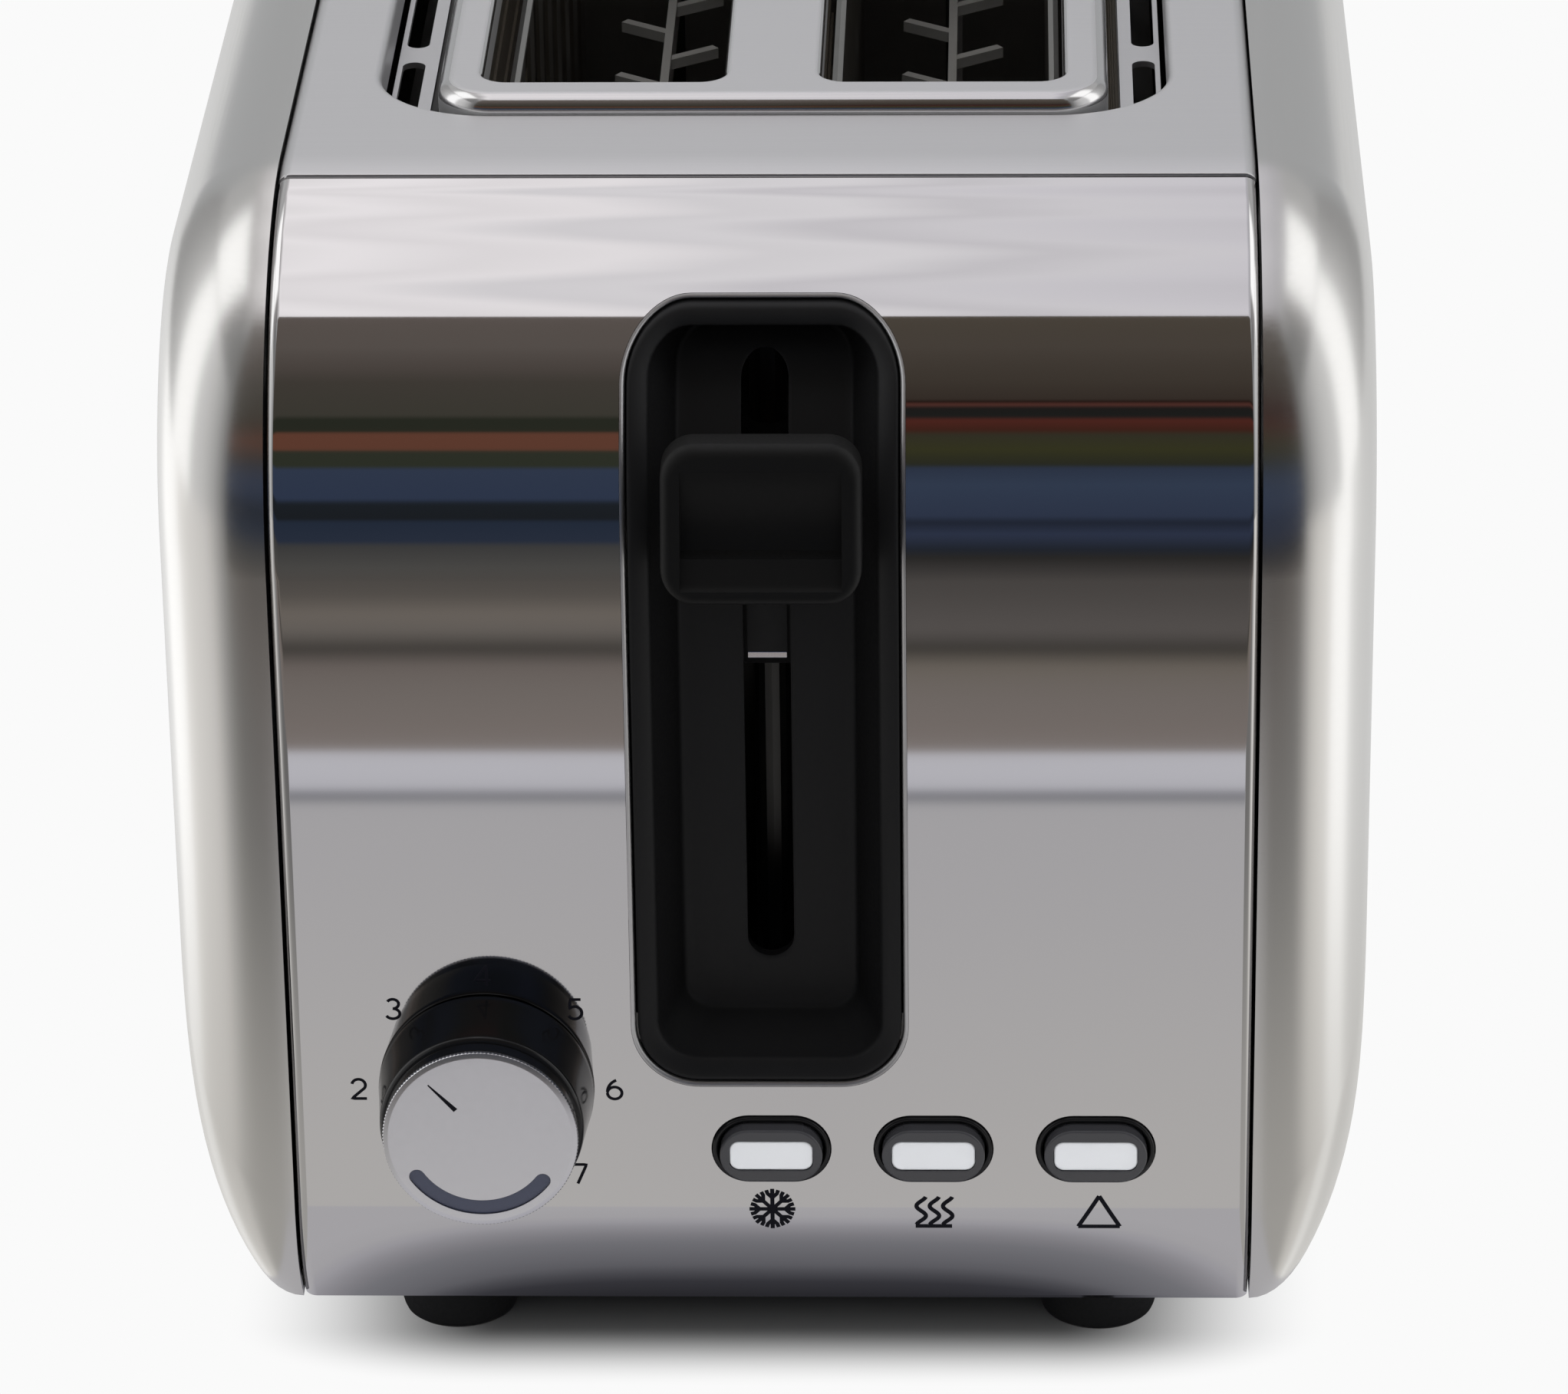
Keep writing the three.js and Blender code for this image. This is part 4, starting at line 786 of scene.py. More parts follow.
    def painted_floor_reflection(self, tree: bpy.types.NodeTree, x: bpy.types.NodeSocket, wide: bpy.types.NodeSocket,
                       along: bpy.types.NodeSocket) -> bpy.types.Node:
        """Gives a painted reflection of the floor, which glows for the steel only: a fan of tones round each
        front corner, evened out near it.

        The fan's angles are in degrees: 0 is straight ahead of the controls, 90 is aside, 180 is behind.
        """
        ahead = calc(tree, "SUBTRACT", BODY.front + self.fan_start, along)
        splay = calc(tree, "MULTIPLY", calc(tree, "MAXIMUM", ahead, 0.0), self.fan_splay)
        across = calc(tree, "SUBTRACT", wide, calc(tree, "ADD", splay, self.fan_half))
        turn = calc(tree, "DIVIDE", calc(tree, "ARCTAN2", across, ahead), DEGREE)
        left = self.ramp(tree, turn, (
            (-1, "#a1a0a2"), (0, "#a1a0a2"), (3, "#616060"), (28, "#646362"), (38, "#737270"),
            (48, "#929190"), (58, "#bab8b6"), (66, "#c6c4c2"), (88, "#cfcdcb"), (100, "#dcdad8"),
            (108, "#fafafa"), (128, "#fafafa"), (137, "#d2d2d2"), (160, "#b8b8b8"), (180, "#a8a8a8")))
        right = self.ramp(tree, turn, (
            (-1, "#a1a0a2"), (0, "#a1a0a2"), (3, "#686766"), (34, "#6b6a69"), (42, "#999795"),
            (50, "#c0bebb"), (60, "#cfcdca"), (70, "#d6d4d2"), (77, "#fafafa"), (94, "#fafafa"),
            (103, "#d4d4d4"), (115, "#c6c6c6"), (135, "#bcbcbc"), (160, "#b4b4b4"), (180, "#a8a8a8")))
        halves = add_node(tree, "ShaderNodeMix", {"Factor": calc(tree, "GREATER_THAN", x, 0.0)},
                          data_type="RGBA")
        tree.links.new(left, halves.inputs[6])
        tree.links.new(right, halves.inputs[7])
        near = add_node(tree, "ShaderNodeMapRange", {"Value": self.length(tree, across, ahead)},
                        interpolation_type="SMOOTHSTEP", From_Min=self.even_from, From_Max=self.even_to,
                        To_Min=self.even_share, To_Max=0.0)
        even = add_node(tree, "ShaderNodeMix", {"Factor": near.outputs["Result"]}, data_type="RGBA")
        tree.links.new(halves.outputs[2], even.inputs[6])
        even.inputs[7].default_value = linear("#afada9")
        return self.glow(tree, even.outputs[2])

    @staticmethod
    def length(tree: bpy.types.NodeTree, *sides: bpy.types.NodeSocket) -> bpy.types.NodeSocket:
        """Gives the length of a vector from its two sides."""
        return calc(tree, "SQRT", calc(tree, "ADD", *(calc(tree, "POWER", side, 2.0) for side in sides)))

    def glow(self, tree: bpy.types.NodeTree, colour: bpy.types.NodeSocket) -> bpy.types.Node:
        """Gives light of which the steel shows just the colour."""
        return add_node(tree, "ShaderNodeEmission", {"Color": colour}, Strength=1 / self.steel_reflects)

    @staticmethod
    def ramp(tree: bpy.types.NodeTree, place: bpy.types.NodeSocket, stops: Stops) -> bpy.types.NodeSocket:
        """Turns a place into a colour between stops."""
        start, end = stops[0][0], stops[-1][0]
        along = add_node(tree, "ShaderNodeMapRange", {"Value": place}, From_Min=start, From_Max=end)
        ramp = add_node(tree, "ShaderNodeValToRGB", {"Fac": along.outputs["Result"]})
        elements = ramp.color_ramp.elements
        while len(elements) < len(stops):
            elements.new(0.5)
        for element, (at, colour) in zip(elements, stops):
            element.position = (at - start) / (end - start)
            element.color = linear(colour)
        return ramp.outputs["Color"]

    def card(self, name: str, low: Point, high: Point, axis: str, stops: Stops, sway: float = 0.0,
             stretch: Point = (6.0, 6.0, 6.0), seed: float = 0.0, bow: float = 0.0) -> None:
        """Stands a glowing card that only reflections see.

        Args:
            name: The card's name.
            low: Its lowest corner.
            high: Its highest corner.
            axis: The axis, "X", "Y" or "Z", along which its colour changes.
            stops: Places in metres along the axis and the colours that the steel shows there, in order.
            sway: How far the colours sway along the axis, in metres.
            stretch: The sway's cycles per metre along each axis.
            seed: Shifts the sway's pattern.
            bow: How far the colours move along the axis with the fourth power of the place across.
        """
        card = Bench.block(name, low, high)
        material = bpy.data.materials.new(name)
        material.use_nodes = True
        tree = material.node_tree
        tree.nodes.clear()
        coordinates = add_node(tree, "ShaderNodeTexCoord")
        split = add_node(tree, "ShaderNodeSeparateXYZ", {0: coordinates.outputs["Object"]})
        mapping = add_node(tree, "ShaderNodeMapping", {"Vector": coordinates.outputs["Object"]},
                           Scale=stretch, Location=(seed, seed, seed))
        noise = add_node(tree, "ShaderNodeTexNoise", {"Vector": mapping.outputs["Vector"]},
                         Scale=1.0, Detail=1.0)
        swing = add_node(tree, "ShaderNodeMapRange", {"Value": noise.outputs["Fac"]},
                         To_Min=-sway, To_Max=sway)
        moved = calc(tree, "ADD", split.outputs[axis], swing.outputs["Result"])
        if bow:
            wide = calc(tree, "ABSOLUTE", split.outputs["X"])
            moved = calc(tree, "ADD", moved, calc(tree, "MULTIPLY", calc(tree, "POWER", wide, 4.0), bow))
        glow = self.glow(tree, self.ramp(tree, moved, stops))
        add_node(tree, "ShaderNodeOutputMaterial", {"Surface": glow.outputs[0]})
        card.data.materials.append(material)
        for ray in ("camera", "diffuse", "transmission", "volume_scatter", "shadow"):
            setattr(card, f"visible_{ray}", False)

    def dark_painted_reflections(self) -> None:
        """Stands the two dark flags that the front panel mirrors: glowing cards whose bands and streaks are a
        painted reflection. Their heights are in millimetres.
        """
        left = (
            (0.0, "#746c68"), (13, "#6c6662"), (18.5, "#665f5b"), (19.6, "#5a5653"), (20.6, "#34322f"),
            (23.2, "#353330"), (24, "#605c58"), (28.8, "#655f5a"), (29.5, "#6c665f"), (30.2, "#58534e"),
            (35, "#4a4744"), (62, "#474644"), (100, "#3a3a3a"), (109, "#262d3b"), (140, "#222a38"),
            (146, "#1a1d21"), (170, "#1b1f24"), (178, "#2c3548"), (226, "#2e3749"), (232, "#2b2e25"),
            (258, "#2b2e26"), (263, "#5a392d"), (293, "#5b3a2e"), (299, "#252720"), (325, "#252720"),
            (335, "#393731"), (430, "#3d3934"), (486, "#48423e"), (600, "#534d49"), (933, "#564f4b"))
        right = (
            (0.0, "#736b67"), (13, "#6c6662"), (18.5, "#666059"), (19.6, "#5a5653"), (20.6, "#302e2b"),
            (22.6, "#353330"), (23.4, "#565250"), (35, "#454240"), (62, "#353332"), (80, "#282726"),
            (95, "#20242c"), (120, "#2b3244"), (140, "#1f2430"), (150, "#2c3446"), (200, "#303a4c"),
            (228, "#2b3343"), (234, "#272820"), (262, "#32321f"), (290, "#302e24"), (300, "#3a2019"),
            (322, "#4a241e"), (330, "#1b1c1b"), (352, "#1b1a19"), (360, "#50302a"), (368, "#1e1310"),
            (375, "#332c27"), (430, "#3a342e"), (600, "#443e38"), (933, "#464038"))
        y = BODY.front - self.flag_distance
        for name, start, end, stops, seed in (("left", -0.3, 0.0, left, 3.1),
                                              ("right", 0.0, 0.3, right, 7.7)):
            self.card(f"flag_{name}", (start, y - self.thick, 0.5 * MM), (end, y, self.flag_top), "Z",
                      [(height * MM, colour) for height, colour in stops], 1.6 * MM, (5.0, 5.0, 1.0), seed)

    def overhead_card(self) -> None:
        """Hangs the wide glowing card that the panel's bend mirrors as soft streaks: a painted reflection."""
        stops = (
            (-0.5, "#a6a4a4"), (-0.36, "#aeacad"), (-0.26, "#cecccd"), (-0.19, "#e4e1e3"), (-0.15, "#d9d6d8"),
            (-0.11, "#dfdcde"), (-0.07, "#cdcbce"), (-0.03, "#d1cfd2"), (0.01, "#c0bec2"), (0.05, "#c8c6ca"),
            (0.09, "#c5c3c8"), (0.14, "#c0bec3"), (0.3, "#a8a7ac"), (0.5, "#a4a3a5"))
        self.card("overhead_card", (-self.far, self.ceiling_front, self.ceiling),
                  (self.far, self.far, self.ceiling + self.thick), "X", stops, 0.1, (0.5, 4.0, 1.0), 1.3)

    def floor_cards(self) -> None:
        """Lays a thin strip in front of the toaster and one under it, which the panel's foot mirrors: painted
        reflections, the strip of light and dark lines ahead and the other of the shade under the toaster.

        Their places are in millimetres behind the front.
        """
        strip = ((-227.5, "#aaa9ae"), (-226, "#b4b4ba"), (-212.5, "#b0b0b6"), (-210.5, "#76767c"),
                 (-208, "#6f6f74"), (-205.5, "#9b9b9d"))
        shade = ((-53, "#a2a1a4"), (-41, "#9f9ea1"), (-34, "#96959a"), (-28, "#88878c"), (-22, "#7b7a7f"),
                 (-16.5, "#6f6f74"), (-12, "#69696e"), (-7, "#626267"), (-3, "#5a5a5f"), (1, "#47474c"),
                 (5, "#333338"), (11, "#27272b"), (19, "#202024"), (120, "#1c1c1e"))
        low, high, front = 0.4 * MM, 0.5 * MM, BODY.front
        self.card("floor_strip", (-0.1, front - 227.5 * MM, low), (0.1, front - 205 * MM, high), "Y",
                  [(front + place * MM, colour) for place, colour in strip], 0.6 * MM, (5.0, 5.0, 1.0))
        self.card("contact_shade", (-0.088, front - 55 * MM, low), (0.088, BODY.back - 5 * MM, high), "Y",
                  [(front + place * MM, colour) for place, colour in shade], 2 * MM, (4.0, 4.0, 1.0), 5.5,
                  -1300.0)

    def side_cards(self) -> None:
        """Stands the cards that the casings mirror, painted reflections of a wall, a dark front corner and an
        arch on each side.
        """
        wall = ((-1.6, "#5c5c5c"), (-1.25, "#6e6e6e"), (-0.9, "#a0a0a0"), (-0.6, "#b8b8b8"),
                (-0.32, "#c0c0c0"), (-0.22, "#fafafa"), (0.2, "#fafafa"), (0.36, "#b4b4b4"),
                (0.6, "#a0a0a0"), (1.0, "#8a8a8a"), (1.6, "#808080"))
        front_corner = ((-1.5, "#6c6c6c"), (self.ceiling_front, "#707070"))
        arch = ((self.ceiling_front, "#747272"), (-0.34, "#8c8a8a"), (-0.22, "#fafafa"), (0.46, "#fafafa"),
                (0.72, "#9c9c9c"), (1.6, "#a0a0a0"))
        for name, side in SIDES:
            for kind, inner, outer, front, back, low, high, stops in (
                    ("side", self.wall - self.thick / 2, self.wall + self.thick / 2, -self.far, self.far,
                     0.0, 1.2, wall),
                    ("corner", 0.6, 1.7, -1.5, self.ceiling_front,
                     self.ceiling, self.ceiling + self.thick, front_corner),
                    ("arch", 0.5, self.wall, self.ceiling_front, self.far,
                     self.ceiling - self.thick, self.ceiling - self.thick / 2, arch)):
                start, end = sorted((side * inner, side * outer))
                self.card(f"{kind}_card_{name}", (start, front, low), (end, back, high), "Y", stops)

    def lamps(self) -> None:
        """Hangs four softboxes, which light the toaster and which no reflection shows."""
        middle = (0, 0, 0.1)
        for name, at, target, size, watts in (
                ("overhead", (0, -0.05, 1.25), (0, 0, 0), (1.5, 1.1), 11),
                ("front_softbox", (0, -1.1, 0.85), middle, (0.9, 0.5), 4),
                ("left_softbox", (-1.1, -0.35, 0.45), middle, (0.35, 0.9), 3),
                ("right_softbox", (1.1, -0.35, 0.45), middle, (0.35, 0.9), 3)):
            data = bpy.data.lights.new(name, "AREA")
            data.shape = "RECTANGLE"
            data.size, data.size_y = size
            data.energy = watts
            lamp = bpy.data.objects.new(name, data)
            lamp.location = at
            lamp.rotation_euler = (Vector(target) - Vector(at)).to_track_quat("-Z", "Y").to_euler()
            lamp.visible_glossy = False
            bpy.context.collection.objects.link(lamp)


@dataclass
class Shell(SubAssembly):
    """The outer shell: side casings, front, top and rear panels."""

    sheet: float = 0.8 * MM
    gap: float = 0.3 * MM
    past: float = 5 * MM
    behind_sheet: float = 6 * MM
    behind_bend: float = 60 * MM
    facing: float = 0.9

    roll: float = 18 * MM
    roll_bottom: float = 34 * MM
    roll_steps: int = 20
    corner_steps: int = 12
    bend_steps: int = 24
    rim_step: float = 0.25 * MM

    edge_round: float = 2.2 * MM
    edge_turn: float = 60 * DEGREE
    edge_steps: int = 8

    hole_roll: float = 0.8 * MM
    well_gap: float = 0.25 * MM
    well_round: float = 10 * MM
    bezel_rim: float = 0.8 * MM
    shaft_hole: float = 3.5 * MM
    gland_hole: float = 5.5 * MM
    gland_reach: float = 9 * MM
    tray_reach: float = 50 * MM

    opening_side: float = 9.6 * MM
    opening_end: float = 0.6 * MM
    opening_round: float = 18 * MM
    opening_roll: float = 1.2 * MM
    opening_reach: float = 20 * MM

    plate_round: float = 9 * MM
    plate_rim: float = 2.6 * MM
    plate_rim_steps: int = 10
    rim_facing: float = 0.94
    rim_reach: float = 1.2
    slot_side: float = 7.1 * MM
    slot_end: float = 7.4 * MM
    slot_round: float = 4 * MM
    slot_roll: float = 1.1 * MM
    slot_wall: float = 6 * MM

    vent_width: float = 6.6 * MM
    vent_place: float = 3.95 * MM
    vent_half: float = 1.85 * MM
    vent_length: float = 30 * MM
    vent_pitch: float = 36.5 * MM
    vent_sheet: float = 1 * MM

    def build(self) -> None:
        """Builds every shell piece."""
        for name, side in SIDES:
            self.casing(name, side)
        self.front_panel()
        self.well_edge()
        self.rear_panel()
        self.top_panel()
        self.slot_plate()
        for name, side in SIDES:
            self.vent_strip(name, side)

    def casing_ring(self, turn: float, inward: float) -> Ring:
        """Gives one ring of the casing: the body's outline at an angle of the roll.

        Args:
            turn: Angle round the roll, 0 at the seam and 90 degrees at the flat side.
            inward: How far inside the outer surface the ring lies.

        Returns:
            Points round the outline for the right-hand casing.
        """
        rise = 1 - math.cos(turn)
        roll = self.roll - inward
        inset = inward + roll * rise
        x = BODY.seam + roll * math.sin(turn)
        bottom = BODY.underside + inward + (self.roll_bottom - inward) * rise
        tuck_rise = BODY.tuck - BODY.underside
        tuck_run = BODY.tuck - math.sqrt(BODY.tuck ** 2 - tuck_rise ** 2)
        pull = BODY.tuck * math.tan(math.asin(tuck_rise / BODY.tuck) / 2)
        tall = tuck_rise + (self.roll_bottom - tuck_rise) * rise
        run = tuck_run + (self.roll_bottom - tuck_run) * rise
        handle = (tuck_rise - pull) * (1 - rise)
        front = []
        for t in sweep(0.0, 1.0, self.corner_steps):
            first, second, third = (1 - t) ** 2, 2 * t * (1 - t), t * t
            front.append((first * (inset + run) + second * inset + third * inset,
                          first * bottom + second * (bottom + handle) + third * (bottom + tall)))
        reach, height = BODY.bend - inset, BODY.top - BODY.bend
        for angle in sweep(math.pi, QUARTER, self.bend_steps):
            front.append((BODY.bend + reach * math.cos(angle), height + reach * math.sin(angle)))
        length = BODY.back - BODY.front
        outline = front + [(length - y, z) for y, z in reversed(front)]
        return [(x, BODY.front + y, z) for y, z in outline]

    def casing(self, name: str, side: int) -> None:
        """Builds one brushed casing with its rolled rim and the sheet's return at the seam."""
        rings = [self.casing_ring(0, self.sheet), self.casing_ring(0, self.rim_step)]
        rings += [self.casing_ring(turn, 0.0) for turn in sweep(0.0, QUARTER, self.roll_steps)]
        piece = Bench.loft(f"side_casing_{name}", [[(side * x, y, z) for x, y, z in ring] for ring in rings])
        Bench.select(piece, Pick.EDGES, lambda edge: edge.is_boundary and all(
            abs(v.co.x) > BODY.half_width - 0.1 * MM for v in edge.verts))
        bpy.ops.mesh.edge_face_add()
        Bench.outward(piece)
        Bench.apply(piece, "SOLIDIFY", thickness=self.sheet, offset=-1)
        Bench.smooth(piece)
        self.finish_piece(piece, self.finishes.casing, "casing_steel", f"{name}_side_casing")

    def rolled_sheet(self, name: str, profile_at: Callable[[float], Outline],
                     half: float) -> bpy.types.Object:
        """Makes a sheet from a side profile, with its side edges rolled back.

        Args:
            name: The new piece's name.
            profile_at: Gives the (y, z) profile at a distance inwards.
            half: Half the sheet's width.

        Returns:
            The sheet with its thickness.
        """
        stations = [(self.edge_round * (math.sin(self.edge_turn) - math.sin(angle)) - half,
                     self.edge_round * (1 - math.cos(angle)))
                    for angle in sweep(self.edge_turn, 0.0, self.edge_steps)]
        stations += [(-x, inward) for x, inward in reversed(stations)]
        rings = [[(x, y, z) for y, z in profile_at(inward)] for x, inward in stations]
        piece = Bench.loft(name, rings, closed=False)
        flat = [face for face in piece.data.polygons
                if max(abs(face.normal.y), abs(face.normal.z)) > self.facing]
        outward = [face for face in flat if face.normal.z > self.facing
                   or abs(face.normal.y) > self.facing and face.normal.y * face.center.y > 0]
        if len(outward) * 2 < len(flat):
            piece.data.flip_normals()
        Bench.apply(piece, "SOLIDIFY", thickness=self.sheet, offset=-1)
        Bench.smooth(piece)
        return piece

    @staticmethod
    def pierced(piece: bpy.types.Object, tools: Iterable[bpy.types.Object]) -> None:
        """Cuts holes through a rolled sheet and keeps its smooth normals."""
        whole = Bench.copy(piece)
        Bench.subtract(piece, tools)
        Bench.take_normals(piece, whole)

    def front_panel(self) -> None:
        """Builds the polished front, pierced for the well, the dial's shaft and the buttons."""
        low, high = corner("front_panel")
        piece = self.rolled_sheet("front_sheet", lambda inward: BODY.profile(high.y, inward), high.x)
        before, behind = low.y - self.past, low.y + self.behind_sheet
        well_low, well_high = corner("lever_well")
        gap = self.gap + self.hole_roll
        outline = rounded(well_high.x + gap, (well_high.z - well_low.z) / 2 + gap,
                          self.well_round + self.hole_roll, 16)
        tools = [Bench.prism("well_hole", shifted(outline, 0.0, (well_low.z + well_high.z) / 2),
                             before, low.y + self.behind_bend, "y")]
        for name in BUTTONS:
            button_low, button_high = corner(f"bezel_{name}")
            centre = centre_of(f"bezel_{name}")
            half_x = (button_high.x - button_low.x) / 2 - self.bezel_rim
            half_z = (button_high.z - button_low.z) / 2 - self.bezel_rim
            outline = shifted(rounded(half_x, half_z, half_z, 14), centre.x, centre.z)
            tools.append(Bench.prism("button_hole", outline, before, behind, "y"))
        shaft = centre_of("dial_shaft")
        tools.append(Bench.rod("shaft_hole", (shaft.x, before, shaft.z), (shaft.x, behind, shaft.z),
                               self.shaft_hole))
        self.pierced(piece, tools)
        self.finish_piece(piece, self.finishes.mirror, "polished_steel", "front_panel")

    def well_edge(self) -> None:
        """Builds the rolled edge of the front panel's hole round the lever well."""
        low, high = corner("lever_well")
        rings = []
        for turn in sweep(0.0, QUARTER, 6):
            rolled = self.hole_roll * (1 - math.sin(turn))
            out = self.well_gap + rolled
            outline = long_outline(high.x + out, low.z - out, high.z + out, self.well_round + rolled, 16)
            depth = self.hole_roll * (1 - math.cos(turn))
            rings.append([(x, BODY.depth(z, depth), z) for x, z in outline])
        lip = Bench.loft("well_hole_edge", rings)
        Bench.smooth(lip, 60 * DEGREE)
        self.finish_piece(lip, self.finishes.satin, "polished_steel")

    def rear_panel(self) -> None:
        """Builds the polished rear, pierced for the crumb tray and the cord's gland."""
        low, high = corner("rear_panel")
        turn = BODY.front + BODY.back

        def profile(inward: float) -> Outline:
            return [(turn - y, z) for y, z in reversed(BODY.profile(turn - low.y, inward))]

        piece = self.rolled_sheet("rear_sheet", profile, high.x)
        tray_high = corner("crumb_tray")[1]
        half, behind = tray_high.x + self.gap, high.y + self.past
        tray = Bench.block("tray_hole", (-half, high.y - self.tray_reach, -MM),
                           (half, behind, tray_high.z + self.gap))
        gland = centre_of("cord_gland")
        bore = Bench.rod("gland_hole", (gland.x, high.y - self.gland_reach, gland.z),
                         (gland.x, behind, gland.z), self.gland_hole, 40)
        self.pierced(piece, [tray, bore])
        self.finish_piece(piece, self.finishes.mirror, "polished_steel", "rear_panel")

    def top_panel(self) -> None:
        """Builds the satin top, with the opening's edge folded down."""
        low, high = corner("top_panel")
        turn = BODY.front + BODY.back

        def profile(inward: float) -> Outline:
            reach = BODY.bend - inward
            start = math.acos((low.y - BODY.front - BODY.bend) / reach)
            y, z = BODY.front + BODY.bend, BODY.top - BODY.bend
            front = [(y + reach * math.cos(angle), z + reach * math.sin(angle))
                     for angle in sweep(start, QUARTER, 8)]
            return front + [(turn - y, z) for y, z in reversed(front)]

        piece = self.rolled_sheet("top_sheet", profile, high.x)
        plate_low, plate_high = corner("slot_plate")
        half_x = plate_high.x + self.opening_side
        half_y = (plate_high.y - plate_low.y) / 2 + self.opening_end
        radius, roll, middle = self.opening_round, self.opening_roll, (plate_high.y + plate_low.y) / 2
        outline = shifted(rounded(half_x + roll, half_y + roll, radius + roll, 24), 0.0, middle)
        reach = self.opening_reach
        self.pierced(piece, [Bench.prism("opening", outline, high.z - reach, high.z + reach)])
        fold = self.folded_edge("top_fold", half_x, half_y, radius, (0, middle), high.z, roll, high.z - low.z)
        Bench.join(piece, [fold])
        self.finish_piece(piece, self.finishes.satin, "satin_steel", "top_panel")

    def folded_edge(self, name: str, half_x: float, half_y: float, radius: float, centre: tuple[float, float],
                    top: float, roll: float, depth: float) -> bpy.types.Object:
        """Makes the edge of a hole that is rolled down into a short wall.

        Args:
            name: The new piece's name.
            half_x: Half the hole's width.
            half_y: Half its length.
            radius: Its corner radius.
            centre: Its middle as (x, y).
            top: Height of the sheet.
            roll: Radius of the roll.
            depth: How far the wall reaches down from the sheet.

        Returns:
            The wall as a closed band.
        """
        stations = [(roll * (1 - math.sin(angle)), top - roll * (1 - math.cos(angle)))
                    for angle in sweep(0.0, QUARTER, 8)]
        stations += [(0.0, top - depth), (self.sheet, top - depth), (roll, top - self.sheet * 1.4)]
        rings = []
        for out, z in stations:
            outline = shifted(rounded(half_x + out, half_y + out, radius + out, 24), *centre)
            rings.append([(x, y, z) for x, y in outline])
        piece = Bench.loft(name, rings + [rings[0]])
        Bench.smooth(piece, 50 * DEGREE, False)
        return piece

    def slot_plate(self) -> None:
        """Builds the raised slot plate with its rounded rim and the rolled-down edges of both slots."""
        low, high = corner("slot_plate")
        middle = (low.y + high.y) / 2
        half_x, half_y, rim, roll = high.x, (high.y - low.y) / 2, self.plate_rim, self.slot_roll
        stations = [(0.0, low.z)]
        stations += [(rim * (1 - math.cos(angle)), high.z - rim + rim * math.sin(angle))
                     for angle in sweep(0.0, QUARTER, self.plate_rim_steps)]
        rings = []
        for inset, z in stations:
            outline = rounded(half_x - inset, half_y - inset, self.plate_round - inset, 20)
            rings.append([(x, y + middle, z) for x, y in outline])
        piece = Bench.loft("slot_plate_skin", rings)
        Bench.select(piece, Pick.EDGES,
                     lambda edge: edge.is_boundary and edge.verts[0].co.z > high.z - 0.1 * MM)
        bpy.ops.mesh.edge_face_add()
        Bench.outward(piece)
        Bench.apply(piece, "SOLIDIFY", thickness=self.sheet, offset=-1)
        Bench.smooth(piece)
        lips, tools = [], []
        length = half_y - self.slot_end
        for name, _ in SIDES:
            x = centre_of(f"bread_rack_{name}").x
            half_slot = half_x - self.slot_side - abs(x)
            outline = shifted(rounded(half_slot + roll, length + roll, self.slot_round + roll, 12), x, middle)
            tools.append(Bench.prism("slot", outline, low.z - self.past, high.z + self.past))
            lips.append(self.folded_edge("slot_lip", half_slot, length, self.slot_round, (x, middle), high.z,
                                         roll, self.slot_wall))
        Bench.subtract(piece, tools)
        Bench.smooth(piece, 20 * DEGREE)
        Bench.join(piece, lips)
        self.finish_piece(piece, self.finishes.satin, "polished_steel", "slot_plate")
        piece.data.materials.append(self.finishes.rim)
        for face in piece.data.polygons:
            on_rim = face.normal.z < self.rim_facing and face.center.z > high.z - self.rim_reach * rim
            face.material_index = int(on_rim)

    def vent_strip(self, name: str, side: int) -> None:
        """Builds a vent strip: a low strip with a row of oblong holes and a flange beside the plate."""
        low, high = corner(f"vent_strip_{name}")
        inner = low.x if side > 0 else high.x
        left, right = sorted((inner, inner + side * self.vent_width))
        piece = Bench.block(f"vent_{name}", (left, low.y, high.z - self.vent_sheet), (right, high.y, high.z))
        x = inner + side * self.vent_place
        count = round((high.y - low.y) / self.vent_pitch)
        tools = []
        for i in range(count):
            y = (low.y + high.y) / 2 + (i - (count - 1) / 2) * self.vent_pitch
            outline = shifted(rounded(self.vent_half, self.vent_length / 2, self.vent_half, 8), x, y)
            tools.append(Bench.prism("vent_hole", outline, high.z - self.past, high.z + self.past))
        Bench.subtract(piece, tools)
        left, right = sorted((inner, inner + side * self.vent_sheet))
        flange = Bench.block("flange", (left, low.y, low.z), (right, high.y, high.z - 0.2 * MM))
        Bench.join(piece, [flange])
        Bench.smooth(piece, weighted=False)
        self.finish_piece(piece, self.finishes.satin, "plated_steel", f"vent_strip_{name}")


